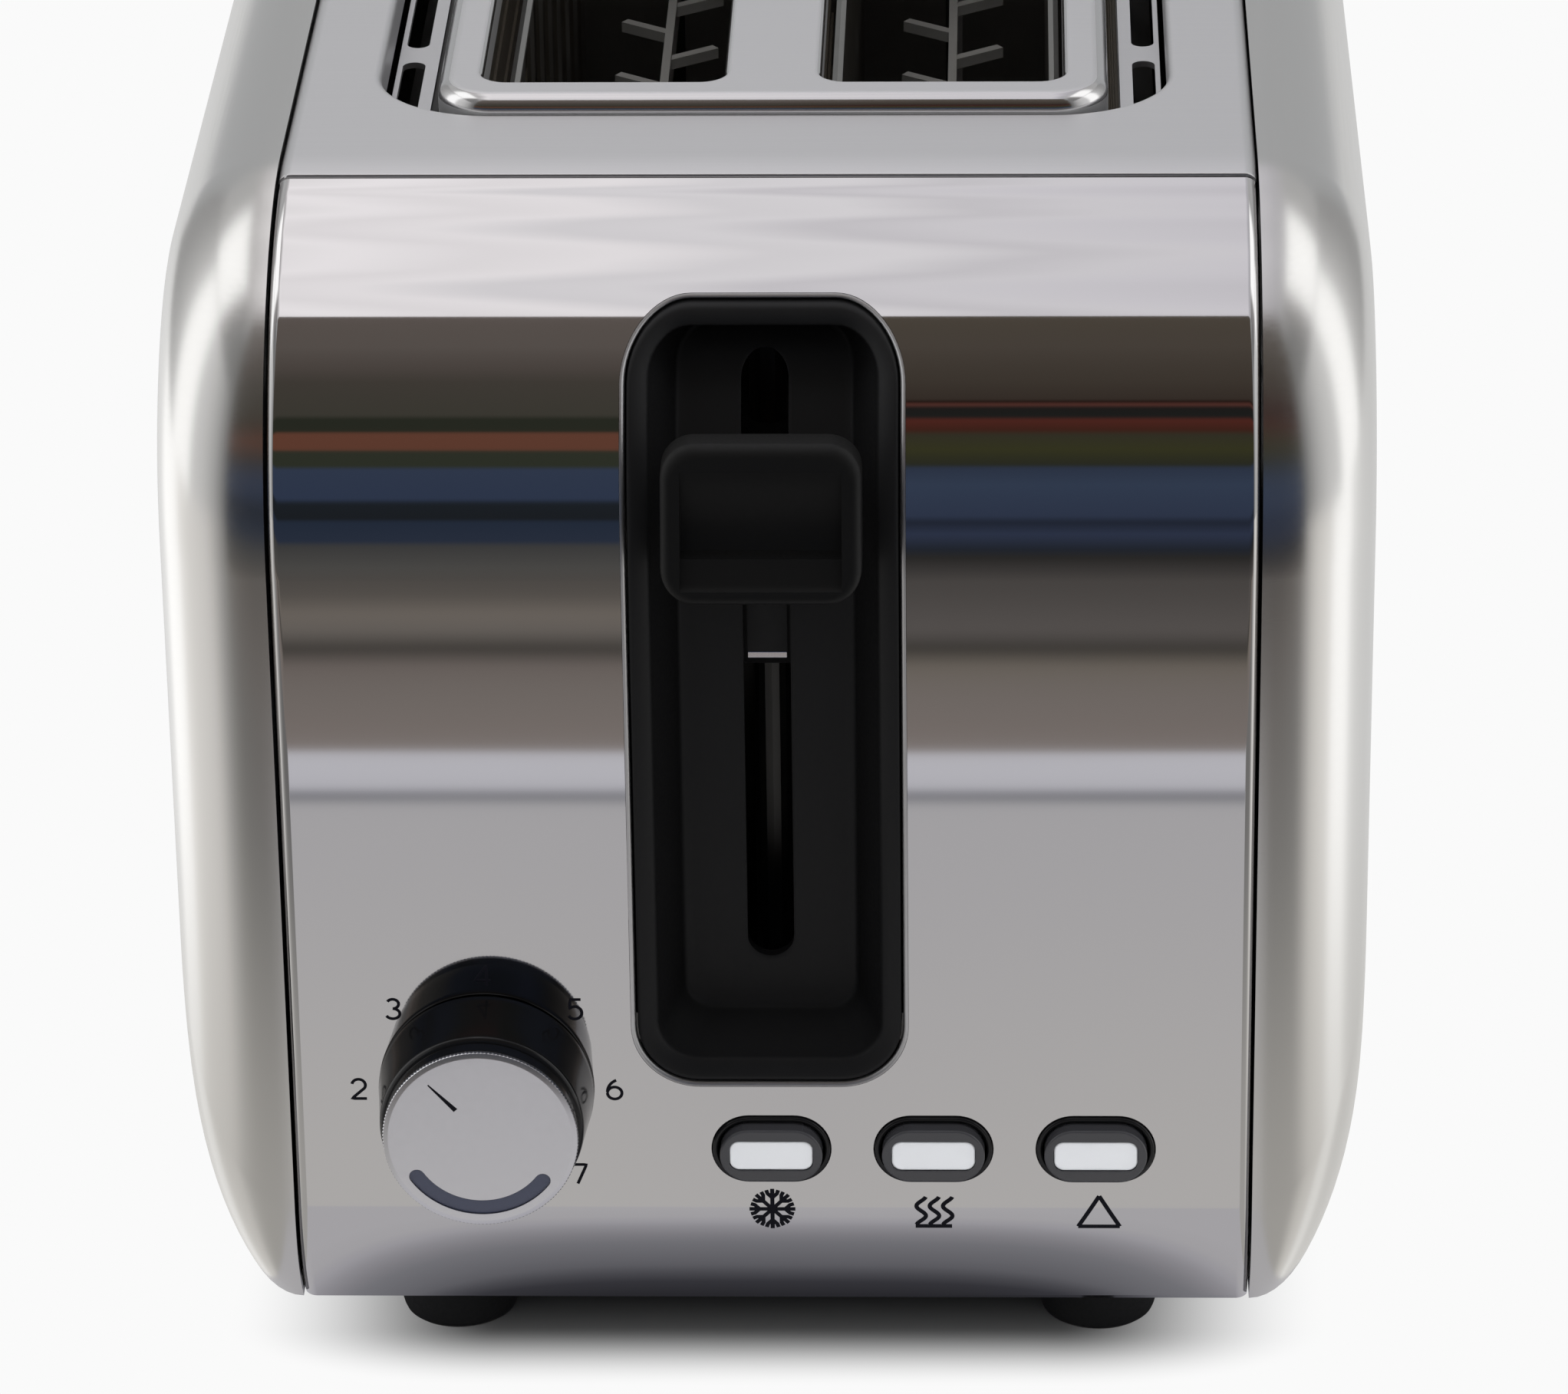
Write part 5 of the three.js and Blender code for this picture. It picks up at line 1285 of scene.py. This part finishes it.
@dataclass
class Lever(SubAssembly):
    """The lever well in the front panel and the lever knob."""

    gap: float = 0.3 * MM
    rim_mm: float = 0.6
    lip_mm: float = 3.0
    draft_mm: float = 3.4
    depth_mm: float = 12.0
    outer_depth_mm: float = 14.0
    corner_round: float = 10 * MM
    least_round: float = 5 * MM
    slit_half: float = 3.65 * MM
    slit_bottom: float = 15.9 * MM
    slit_top: float = 10.2 * MM

    knob_lean: float = 7 * MM
    knob_corner_mm: float = 5.2
    knob_soft_mm: float = 1.7
    knob_back: float = 1.2 * MM
    dish_margin: float = 3 * MM
    dish_bottom: float = 2.3 * MM
    dish_depth: float = 4 * MM
    dish_bow: float = 1.6
    ledge_place: float = 0.42
    ledge_height: float = 1.2 * MM
    blade_half: float = 3.1 * MM
    blade_front: float = 14.5 * MM
    blade_back: float = 15.3 * MM
    blade_drop: float = 20.6 * MM

    def build(self) -> None:
        """Builds the well, the knob and what shows of the carriage in the slit."""
        self.well()
        self.knob()
        self.blade()

    def well_ring(self, inset: float, offset: float) -> Ring:
        """Gives the well's outline at an inset, laid on the panel's bend at a depth behind its surface."""
        low, high = corner("lever_well")
        grow = self.gap - inset
        outline = long_outline(high.x + grow, low.z - grow, high.z + grow,
                               self.corner_round - min(inset, self.least_round))
        return [(x, BODY.depth(z, offset), z) for x, z in outline]

    def slit_ring(self, offset: float) -> Ring:
        """Gives the slit's outline, with as many points as the well's, at a depth behind the surface."""
        low, high = corner("lever_well")
        outline = long_outline(self.slit_half, low.z + self.slit_bottom, high.z - self.slit_top,
                               self.slit_half)
        return [(x, BODY.depth(z, offset), z) for x, z in outline]

    def well(self) -> None:
        """Builds the well as one moulding: outer wall, rim, sloping lip, drafted wall, floor and slit.

        The stations are insets from the outline and depths behind the panel's surface, in millimetres.
        """
        rim, lip, depth = self.rim_mm, self.rim_mm + self.lip_mm, self.depth_mm
        wall = lip + self.draft_mm
        stations = [(0.3, self.outer_depth_mm), (0.3, 0.5), (0.4, 0.25), (rim, 0.1), (rim + 0.5, 0.12),
                    (lip - 0.5, 1.2), (lip - 0.1, 1.6), (lip, 2.1)]
        stations += [(lip + self.draft_mm * t, 2.1 + 8.6 * t) for t in (0.25, 0.5, 0.75, 1.0)]
        stations += [(wall + 0.15, 11.3), (wall + 0.45, 11.75), (wall + 0.9, depth), (wall + 2.2, depth)]
        rings = [self.well_ring(inset * MM, offset * MM) for inset, offset in stations]
        floor, slit = rings[-1], self.slit_ring(depth * MM)
        for t in (0.3, 0.6, 0.9, 0.965):
            between = [(a[0] + (b[0] - a[0]) * t, a[2] + (b[2] - a[2]) * t) for a, b in zip(floor, slit)]
            rings.append([(x, BODY.depth(z, depth * MM), z) for x, z in between])
        rings += [self.slit_ring((depth + 0.15) * MM), self.slit_ring(self.outer_depth_mm * MM)]
        piece = Bench.loft("well_moulding", rings + [rings[0]])
        Bench.smooth(piece, 60 * DEGREE, False)
        self.finish_piece(piece, self.finishes.black, "black_plastic", "lever_well")

    def knob(self) -> None:
        """Builds the knob: a pad that leans back, with a soft rim, a dished face and a finger ledge."""
        low, high = corner("lever_knob")
        half_x, half_z, middle = high.x, (high.z - low.z) / 2, (low.z + high.z) / 2

        def outline(inset: float) -> Outline:
            radius = (self.knob_corner_mm - inset * 0.6) * MM
            return shifted(rounded(half_x - inset * MM, half_z - inset * MM, radius), 0.0, middle)

        rings = [[(x, high.y - (0.6 - inset) * 0.5 * MM, z) for x, z in outline(inset)]
                 for inset in (0.6, 0.15, 0.0)]
        rings.append([(x, high.y - self.knob_back, z) for x, z in outline(0.0)])
        for angle in sweep(0.0, QUARTER, 8):
            back = self.knob_soft_mm * (1 - math.sin(angle)) * MM
            flat = outline(self.knob_soft_mm * (1 - math.cos(angle)))
            rings.append([(x, self.face(z) + back, z) for x, z in flat])
        piece = Bench.loft("lever_pad", rings)
        Bench.cap_ends(piece)
        half = half_x - self.dish_margin
        tool = Bench.loft("dish", [[(x, y, z) for y, z in self.dish()] for x in (-half, half)])
        Bench.cap_ends(tool)
        Bench.subtract(piece, [tool])
        Bench.round_edges(piece, 0.45 * MM, 3)
        Bench.smooth(piece, 35 * DEGREE)
        self.finish_piece(piece, self.finishes.knob, "black_plastic", "lever_knob", body="carriage")

    def face(self, z: float) -> float:
        """Gives the Y of the knob's leaning face at a height."""
        low, high = corner("lever_knob")
        return low.y + self.knob_lean * (z - low.z) / (high.z - low.z)

    def dish(self) -> Outline:
        """Gives the side outline of what is hollowed out of the face: a dish above a finger ledge."""
        low, high = corner("lever_knob")
        front, deep, lift = low.y - 5 * MM, self.dish_depth, self.ledge_height
        top, bottom = high.z - self.dish_margin, low.z + self.dish_bottom
        ledge = (low.z + high.z) / 2 - (high.z - low.z) / 2 * self.ledge_place
        points = [(front, top), (self.face(top) - 0.2 * MM, top)]
        for t in sweep(0.0, 1.0, 16)[1:]:
            z = top + (ledge + lift - top) * t
            points.append((self.face(z) + deep * math.sin(t * QUARTER) ** self.dish_bow, z))
        return points + [
            (self.face(ledge) + deep, ledge), (self.face(ledge) + 1.3 * MM, ledge - 0.2 * MM),
            (self.face(bottom) + 1.2 * MM, bottom + 0.8 * MM), (self.face(bottom) + 0.2 * MM, bottom),
            (front, bottom)]

    def blade(self) -> None:
        """Builds the carriage's blade behind the slit, dark steel as painted shade, and its cut edge below
        the knob, bare steel made brighter as a painted highlight.
        """
        knob_low = corner("lever_knob")[0].z
        half, foot = self.blade_half, knob_low - self.blade_drop
        front, back = BODY.front + self.blade_front, BODY.front + self.blade_back
        blade = Bench.block("carriage_blade", (-half, front, foot + 0.9 * MM),
                            (half, back, knob_low + 6 * MM))
        self.finish_piece(blade, self.finishes.painted_shade_steel, "plated_steel", body="carriage")
        edge = Bench.block("carriage_cut_edge", (-half, front - 0.1 * MM, foot), (half, back, foot + MM))
        Bench.round_edges(edge, 0.1 * MM, 2)
        self.finish_piece(edge, self.finishes.bright, "plated_steel", body="carriage")


@dataclass
class Dial(SubAssembly):
    """The browning dial: a gloss black body and a spun cap with a pointer and a grip groove."""

    body: str = "dial"
    forward: Point = (0, -1, 0)
    ridges: int = 160
    ridge_depth: float = 0.16 * MM
    rim: float = 0.8 * MM
    skirt: float = 0.95 * MM
    groove_radius: float = 12 * MM
    groove_half: float = 1.25 * MM
    inlay_half: float = 1.2 * MM
    groove_start: float = 213 * DEGREE
    groove_end: float = 323 * DEGREE
    pointer_turn: float = 127 * DEGREE
    pointer_splay: float = 2 * DEGREE
    pointer_inner: float = 6.4 * MM
    pointer_outer: float = 12.5 * MM
    pointer_half: float = 0.4 * MM

    def build(self) -> None:
        """Builds the body and the cap."""
        low, high = corner("dial_body")
        middle = centre_of("dial_body")
        radius, deep = high.x - middle.x, high.y - low.y
        profile = [(0, 0.3 * MM), (radius - 0.8 * MM, 0), (radius - 0.25 * MM, 0.1 * MM), (radius, 0.5 * MM)]
        profile += [(radius - (0.05 + 0.95 * t) * MM, 0.5 * MM + (deep - 1.5 * MM) * t)
                    for t in (0.1, 0.4, 0.7, 1)]
        profile += [(radius - 1.15 * MM, deep - 0.6 * MM), (radius - 1.5 * MM, deep - 0.2 * MM),
                    (radius - 2.0 * MM, deep), (0, deep)]
        body = Bench.turned("dial_shell", profile, (middle.x, high.y, middle.z), self.forward, 128)
        Bench.smooth(body, 40 * DEGREE)
        self.finish_piece(body, self.finishes.gloss_black, "gloss_black", "dial_body")
        self.cap()

    def cap(self) -> None:
        """Builds the cap with its knurled skirt, bright rim, pointer and inlaid groove, and its collar."""
        low, high = corner("dial_cap")
        middle = centre_of("dial_cap")
        foot = (middle.x, high.y, middle.z)
        radius, deep = high.x - middle.x, high.y - low.y
        skirt = deep - self.skirt
        profile = [(0, 0), (radius - 0.55 * MM, 0), (radius - 0.55 * MM, skirt - 0.1 * MM),
                   (radius - 0.1 * MM, skirt), (radius, skirt + 0.1 * MM), (radius, deep - 0.4 * MM),
                   (radius - 0.15 * MM, deep - 0.25 * MM), (radius - self.rim, deep - 0.03 * MM),
                   (radius - self.rim - 0.15 * MM, deep), (radius * 0.8, deep), (radius * 0.5, deep),
                   (0, deep)]
        piece = Bench.turned("dial_face", profile, foot, self.forward, self.ridges * 2)
        step = math.pi / self.ridges
        for vert in piece.data.vertices:
            x, z = vert.co.x - middle.x, vert.co.z - middle.z
            reach = math.hypot(x, z)
            inside = skirt < high.y - vert.co.y < deep - 0.3 * MM
            if reach > radius - 0.1 * MM and inside and round(math.atan2(z, x) / step) % 2:
                pull = 1 - self.ridge_depth / reach
                vert.co.x, vert.co.z = middle.x + x * pull, middle.z + z * pull
        pointer = shifted(self.pointer(), middle.x, middle.z)
        groove = shifted(self.arc(self.groove_half), middle.x, middle.z)
        Bench.subtract(piece, [Bench.prism("groove", groove, low.y - MM, low.y + 0.5 * MM, "y"),
                               Bench.prism("pointer", pointer, low.y - MM, low.y + 0.25 * MM, "y")])
        Bench.smooth(piece, 25 * DEGREE)
        self.finish_piece(piece, self.finishes.cap, "satin_steel", "dial_cap")
        sleeve = [(radius - 0.45 * MM, 0.05 * MM), (radius - 0.02 * MM, 0.05 * MM),
                  (radius - 0.02 * MM, skirt - 0.15 * MM), (radius - 0.12 * MM, skirt - 0.05 * MM),
                  (radius - 0.45 * MM, skirt - 0.15 * MM), (radius - 0.45 * MM, 0.05 * MM)]
        collar = Bench.turned("dial_collar", sleeve, foot, self.forward, 128)
        Bench.smooth(collar, 40 * DEGREE)
        self.finish_piece(collar, self.finishes.gloss_black, "gloss_black")
        inlay = shifted(self.arc(self.inlay_half), middle.x, middle.z)
        groove_fill = Bench.prism("groove_inlay", inlay, low.y + 0.35 * MM, low.y + 0.45 * MM, "y")
        self.finish_piece(groove_fill, self.finishes.blue_lacquer, "satin_steel")
        pointer_fill = Bench.prism("pointer_inlay", pointer, low.y + 0.12 * MM, low.y + 0.2 * MM, "y")
        self.finish_piece(pointer_fill, self.finishes.ink, "satin_steel")

    def pointer(self) -> Outline:
        """Gives the pointer's outline about the dial's axis: a line that narrows outwards."""
        ends = [Vector((reach * math.cos(turn), reach * math.sin(turn))) for reach, turn in (
            (self.pointer_inner, self.pointer_turn - self.pointer_splay),
            (self.pointer_outer, self.pointer_turn + self.pointer_splay))]
        line = (ends[1] - ends[0]).normalized()
        side = Vector((-line.y, line.x)) * self.pointer_half
        return [tuple(point) for point in (
            ends[0] + side, ends[0] - side, ends[1] - side * 0.3, ends[1] + side * 0.3)]

    def arc(self, half: float) -> Outline:
        """Gives the outline of the curved groove with its round ends, about the dial's axis."""
        radius, first, last = self.groove_radius, self.groove_start, self.groove_end

        def polar(reach: float, turns: Iterable[float]) -> Outline:
            return [(reach * math.cos(turn), reach * math.sin(turn)) for turn in turns]

        far_end, near_end = polar(radius, (last, first))
        far_round = polar(half, sweep(last, last + math.pi, 10)[1:-1])
        near_round = polar(half, sweep(first + math.pi, first + math.tau, 10)[1:-1])
        return (polar(radius + half, sweep(first, last, 40)) + shifted(far_round, *far_end)
                + polar(radius - half, sweep(last, first, 40)) + shifted(near_round, *near_end))


@dataclass
class Buttons(SubAssembly):
    """The three push buttons: a bezel in the panel, and a frame with a milky lens that moves in it."""

    flange: float = 1.0 * MM
    clearance: float = 0.35 * MM
    soft: float = 0.35 * MM
    lens_half: tuple[float, float] = (6.65 * MM, 2.6 * MM)
    lens_round: float = 1.6 * MM
    lens_gap: float = 0.06 * MM

    def build(self) -> None:
        """Builds all three buttons."""
        for name in BUTTONS:
            self.bezel(name)
            self.frame(name)
            self.lens(name)

    @staticmethod
    def ring(node: str, inset: float, y: float) -> Ring:
        """Gives a stadium ring inside a node's outline at an inset and a Y."""
        low, high = corner(node)
        centre = centre_of(node)
        half_x, half_z = (high.x - low.x) / 2 - inset, (high.z - low.z) / 2 - inset
        return [(x, y, z) for x, z in shifted(rounded(half_x, half_z, half_z, 16), centre.x, centre.z)]

    def bezel(self, name: str) -> None:
        """Builds one bezel: a flat rim on the panel with rounded edges and a wall into it."""
        node = f"bezel_{name}"
        low, high = corner(node)
        frame_low, frame_high = corner(f"button_{name}")
        bore = (high.x - low.x - frame_high.x + frame_low.x) / 2 - self.clearance
        edge, back = self.flange, high.y - 1.5 * MM
        stations = [(0.0, high.y), (0.0, back), (edge, back), (edge, low.y + 0.3 * MM),
                    (edge + 0.1 * MM, low.y + 0.1 * MM), (edge + 0.25 * MM, low.y),
                    (bore - 0.25 * MM, low.y), (bore - 0.1 * MM, low.y + 0.1 * MM), (bore, low.y + 0.3 * MM),
                    (bore, high.y)]
        rings = [self.ring(node, inset, y) for inset, y in stations]
        piece = Bench.loft(f"bezel_ring_{name}", rings + [rings[0]])
        Bench.smooth(piece, 50 * DEGREE)
        self.finish_piece(piece, self.finishes.gloss_black, "gloss_black", node)

    def frame(self, name: str) -> None:
        """Builds one button's frame with soft edges and a recess for the lens."""
        node = f"button_{name}"
        low, high = corner(node)
        soft = self.soft
        rings = [self.ring(node, 0.0, high.y)]
        rings += [self.ring(node, soft * (1 - math.cos(angle)), low.y + soft * (1 - math.sin(angle)))
                  for angle in sweep(0.0, QUARTER, 5)]
        piece = Bench.loft(f"button_frame_{name}", rings)
        Bench.cap_ends(piece)
        centre = centre_of(node)
        window = shifted(rounded(*self.lens_half, self.lens_round, 8), centre.x, centre.z)
        Bench.subtract(piece, [Bench.prism("window", window, low.y - MM, low.y + 1.4 * MM, "y")])
        Bench.round_edges(piece, 0.12 * MM, 2)
        Bench.smooth(piece, 40 * DEGREE)
        self.finish_piece(piece, self.finishes.grey, "grey_plastic", node, body=node)

    def lens(self, name: str) -> None:
        """Builds the lens, which sits a little back in its frame."""
        node = f"button_{name}"
        front, centre = corner(node)[0].y, centre_of(node)
        rings = []
        for inset, depth in ((0.0, 1.3), (0.0, 0.42), (0.1, 0.27), (0.35, 0.2)):
            half_x, half_z = (half - self.lens_gap - inset * MM for half in self.lens_half)
            outline = rounded(half_x, half_z, self.lens_round - inset * MM, 8)
            rings.append([(x, front + depth * MM, z) for x, z in shifted(outline, centre.x, centre.z)])
        lens = Bench.loft(f"lens_window_{name}", rings)
        Bench.cap_ends(lens)
        Bench.smooth(lens, 60 * DEGREE)
        self.finish_piece(lens, self.finishes.lens, "lens_white", f"lens_{name}", body=node)


@dataclass
class Marks(SubAssembly):
    """What is printed on the front: the dial's numbers and the buttons' symbols."""

    stroke: float = 0.26 * MM
    proud: float = 0.04 * MM
    step: float = 0.4 * MM
    digit_height: float = 3.45 * MM
    digit_radius: float = 20.2 * MM
    digit_start: float = 225.0
    digit_turn: float = 45.0
    last_digit_drop: float = 1 * MM
    flake_size: float = 3.65 * MM

    def build(self) -> None:
        """Draws every mark on the panel."""
        strokes = [self.line(path) for path in self.numbers()]
        for name, drop, weight, paths in (("defrost", 10.95, 1.3, self.snowflake()),
                                          ("reheat", 11.35, 1.4, self.steam()),
                                          ("cancel", 11.25, 1.4, self.triangle())):
            centre = centre_of(f"bezel_{name}")
            strokes += [self.line(shifted(path, centre.x, centre.z - drop * MM), weight) for path in paths]
        marks = Bench.join(strokes[0], strokes[1:])
        marks.name = marks.data.name = "printed_marks"
        self.finish_piece(marks, self.finishes.ink, "polished_steel")

    @staticmethod
    def bow(x: float, z: float, half_x: float, half_z: float, first: float, last: float,
            steps: int = 18) -> Outline:
        """Gives points on part of an ellipse, between two angles in degrees."""
        return [(x + half_x * math.cos(turn * DEGREE), z + half_z * math.sin(turn * DEGREE))
                for turn in sweep(first, last, steps)]

    def digits(self) -> list[list[Outline]]:
        """Gives the strokes of the digits 1 to 7, each in a box one high and about 0.7 wide."""
        bow = self.bow
        return [
            [[(-0.18, 0.8), (0.06, 1.0), (0.06, 0.0)]],
            [bow(0, 0.7, 0.31, 0.3, 168, -32) + [(-0.33, 0.0), (0.36, 0.0)]],
            [bow(-0.01, 0.76, 0.27, 0.24, 150, -90), bow(-0.02, 0.26, 0.32, 0.26, 90, -155)],
            [[(0.36, 0.27), (-0.36, 0.27), (0.16, 1.0), (0.16, 0.0)]],
            [[(0.27, 1.0), (-0.2, 1.0), (-0.25, 0.54)] + bow(-0.01, 0.32, 0.32, 0.32, 130, -150)],
            [bow(0.33, 0.36, 0.66, 0.66, 112, 178, 12) + bow(0, 0.31, 0.33, 0.31, 180, -180, 36)],
            [[(-0.33, 1.0), (0.34, 1.0), (-0.08, 0.0)]],
        ]

    def numbers(self) -> list[Outline]:
        """Gives the strokes of the numbers round the dial, the last a little lower than its circle."""
        axis, tall = centre_of("dial_cap"), self.digit_height
        digits = self.digits()
        paths = []
        for i, strokes in enumerate(digits):
            turn = (self.digit_start - self.digit_turn * i) * DEGREE
            x = axis.x + self.digit_radius * math.cos(turn)
            z = axis.z + self.digit_radius * math.sin(turn) - tall / 2
            if i == len(digits) - 1:
                z -= self.last_digit_drop
            paths += [[(x + a * tall, z + b * tall) for a, b in path] for path in strokes]
        return paths

    def snowflake(self) -> list[Outline]:
        """Gives an eight-armed snowflake with two short twigs on each arm."""
        paths = []
        for arm in range(8):
            for twig in (((0.0, 0), (1.0, 0)), ((0.56, 0), (0.79, -15), (0.97, -15.5)),
                         ((0.56, 0), (0.79, 15), (0.97, 15.5))):
                paths.append([(self.flake_size * reach * math.cos((arm * 45 + turn) * DEGREE),
                               self.flake_size * reach * math.sin((arm * 45 + turn) * DEGREE))
                              for reach, turn in twig])
        return paths

    @staticmethod
    def steam() -> list[Outline]:
        """Gives three rising waves over a bar."""
        paths = [[(-2.9 * MM, -2.75 * MM), (2.9 * MM, -2.75 * MM)]]
        for x in (-2.0, 0.1, 2.2):
            paths.append([((x + 0.75 * math.sin(t * math.tau)) * MM, (-1.7 + 3.6 * t) * MM)
                          for t in (i / 24 for i in range(-5, 30))])
        return paths

    @staticmethod
    def triangle() -> list[Outline]:
        """Gives an upright triangle."""
        left, top, right = (-2.7 * MM, -2.85 * MM), (0.6 * MM, 2.75 * MM), (3.9 * MM, -2.85 * MM)
        return [[left, top], [top, right], [right, left]]

    def line(self, path: Outline, weight: float = 1.0) -> bpy.types.Object:
        """Draws one stroke and presses it flat on the panel."""
        radius = self.stroke * weight
        fine = [path[0]]
        for (x0, z0), (x1, z1) in zip(path, path[1:]):
            count = max(1, math.ceil(math.hypot(x1 - x0, z1 - z0) / self.step))
            fine += list(zip(sweep(x0, x1, count), sweep(z0, z1, count)))[1:]
        piece = Bench.tube("stroke", [(x, BODY.front, z) for x, z in fine], radius)
        for vert in piece.data.vertices:
            vert.co.y = BODY.depth(vert.co.z) + (vert.co.y - BODY.front) * self.proud / radius
        return piece


@dataclass
class Feet(SubAssembly):
    """The four tapered rubber feet."""

    def build(self) -> None:
        """Turns each foot."""
        for place in ("front_left", "front_right", "rear_left", "rear_right"):
            low, high = corner(f"foot_{place}")
            middle = centre_of(f"foot_{place}")
            top, tall = high.x - middle.x, high.z - low.z
            sole = top * 0.75
            profile = [(0, tall), (top - 0.5 * MM, tall), (top, tall - 0.5 * MM), (top, tall - 1.6 * MM),
                       (top - 0.5 * MM, tall - 2.4 * MM), (sole + 0.4 * MM, 1.2 * MM),
                       (sole + 0.1 * MM, 0.5 * MM), (sole - 0.5 * MM, 0), (sole - 3 * MM, 0),
                       (sole - 3.4 * MM, 0.5 * MM), (0, 0.5 * MM)]
            piece = Bench.turned(f"foot_pad_{place}", profile, (middle.x, middle.y, low.z), (0, 0, 1), 64)
            Bench.smooth(piece, 30 * DEGREE)
            self.finish_piece(piece, self.finishes.rubber, "rubber", f"foot_{place}")


def main() -> None:
    """Builds the studio and every sub-assembly."""
    logging.basicConfig(level=logging.INFO)
    finishes = Finishes()
    finishes.dress_frame()
    Studio().build()
    for assembly in (Shell(finishes), Lever(finishes), Dial(finishes), Buttons(finishes), Marks(finishes),
                     Feet(finishes)):
        assembly.build()
        log.info("%s: %d pieces", type(assembly).__name__, len(assembly.made))
    Bench.rest()


if __name__ == "__main__":
    main()
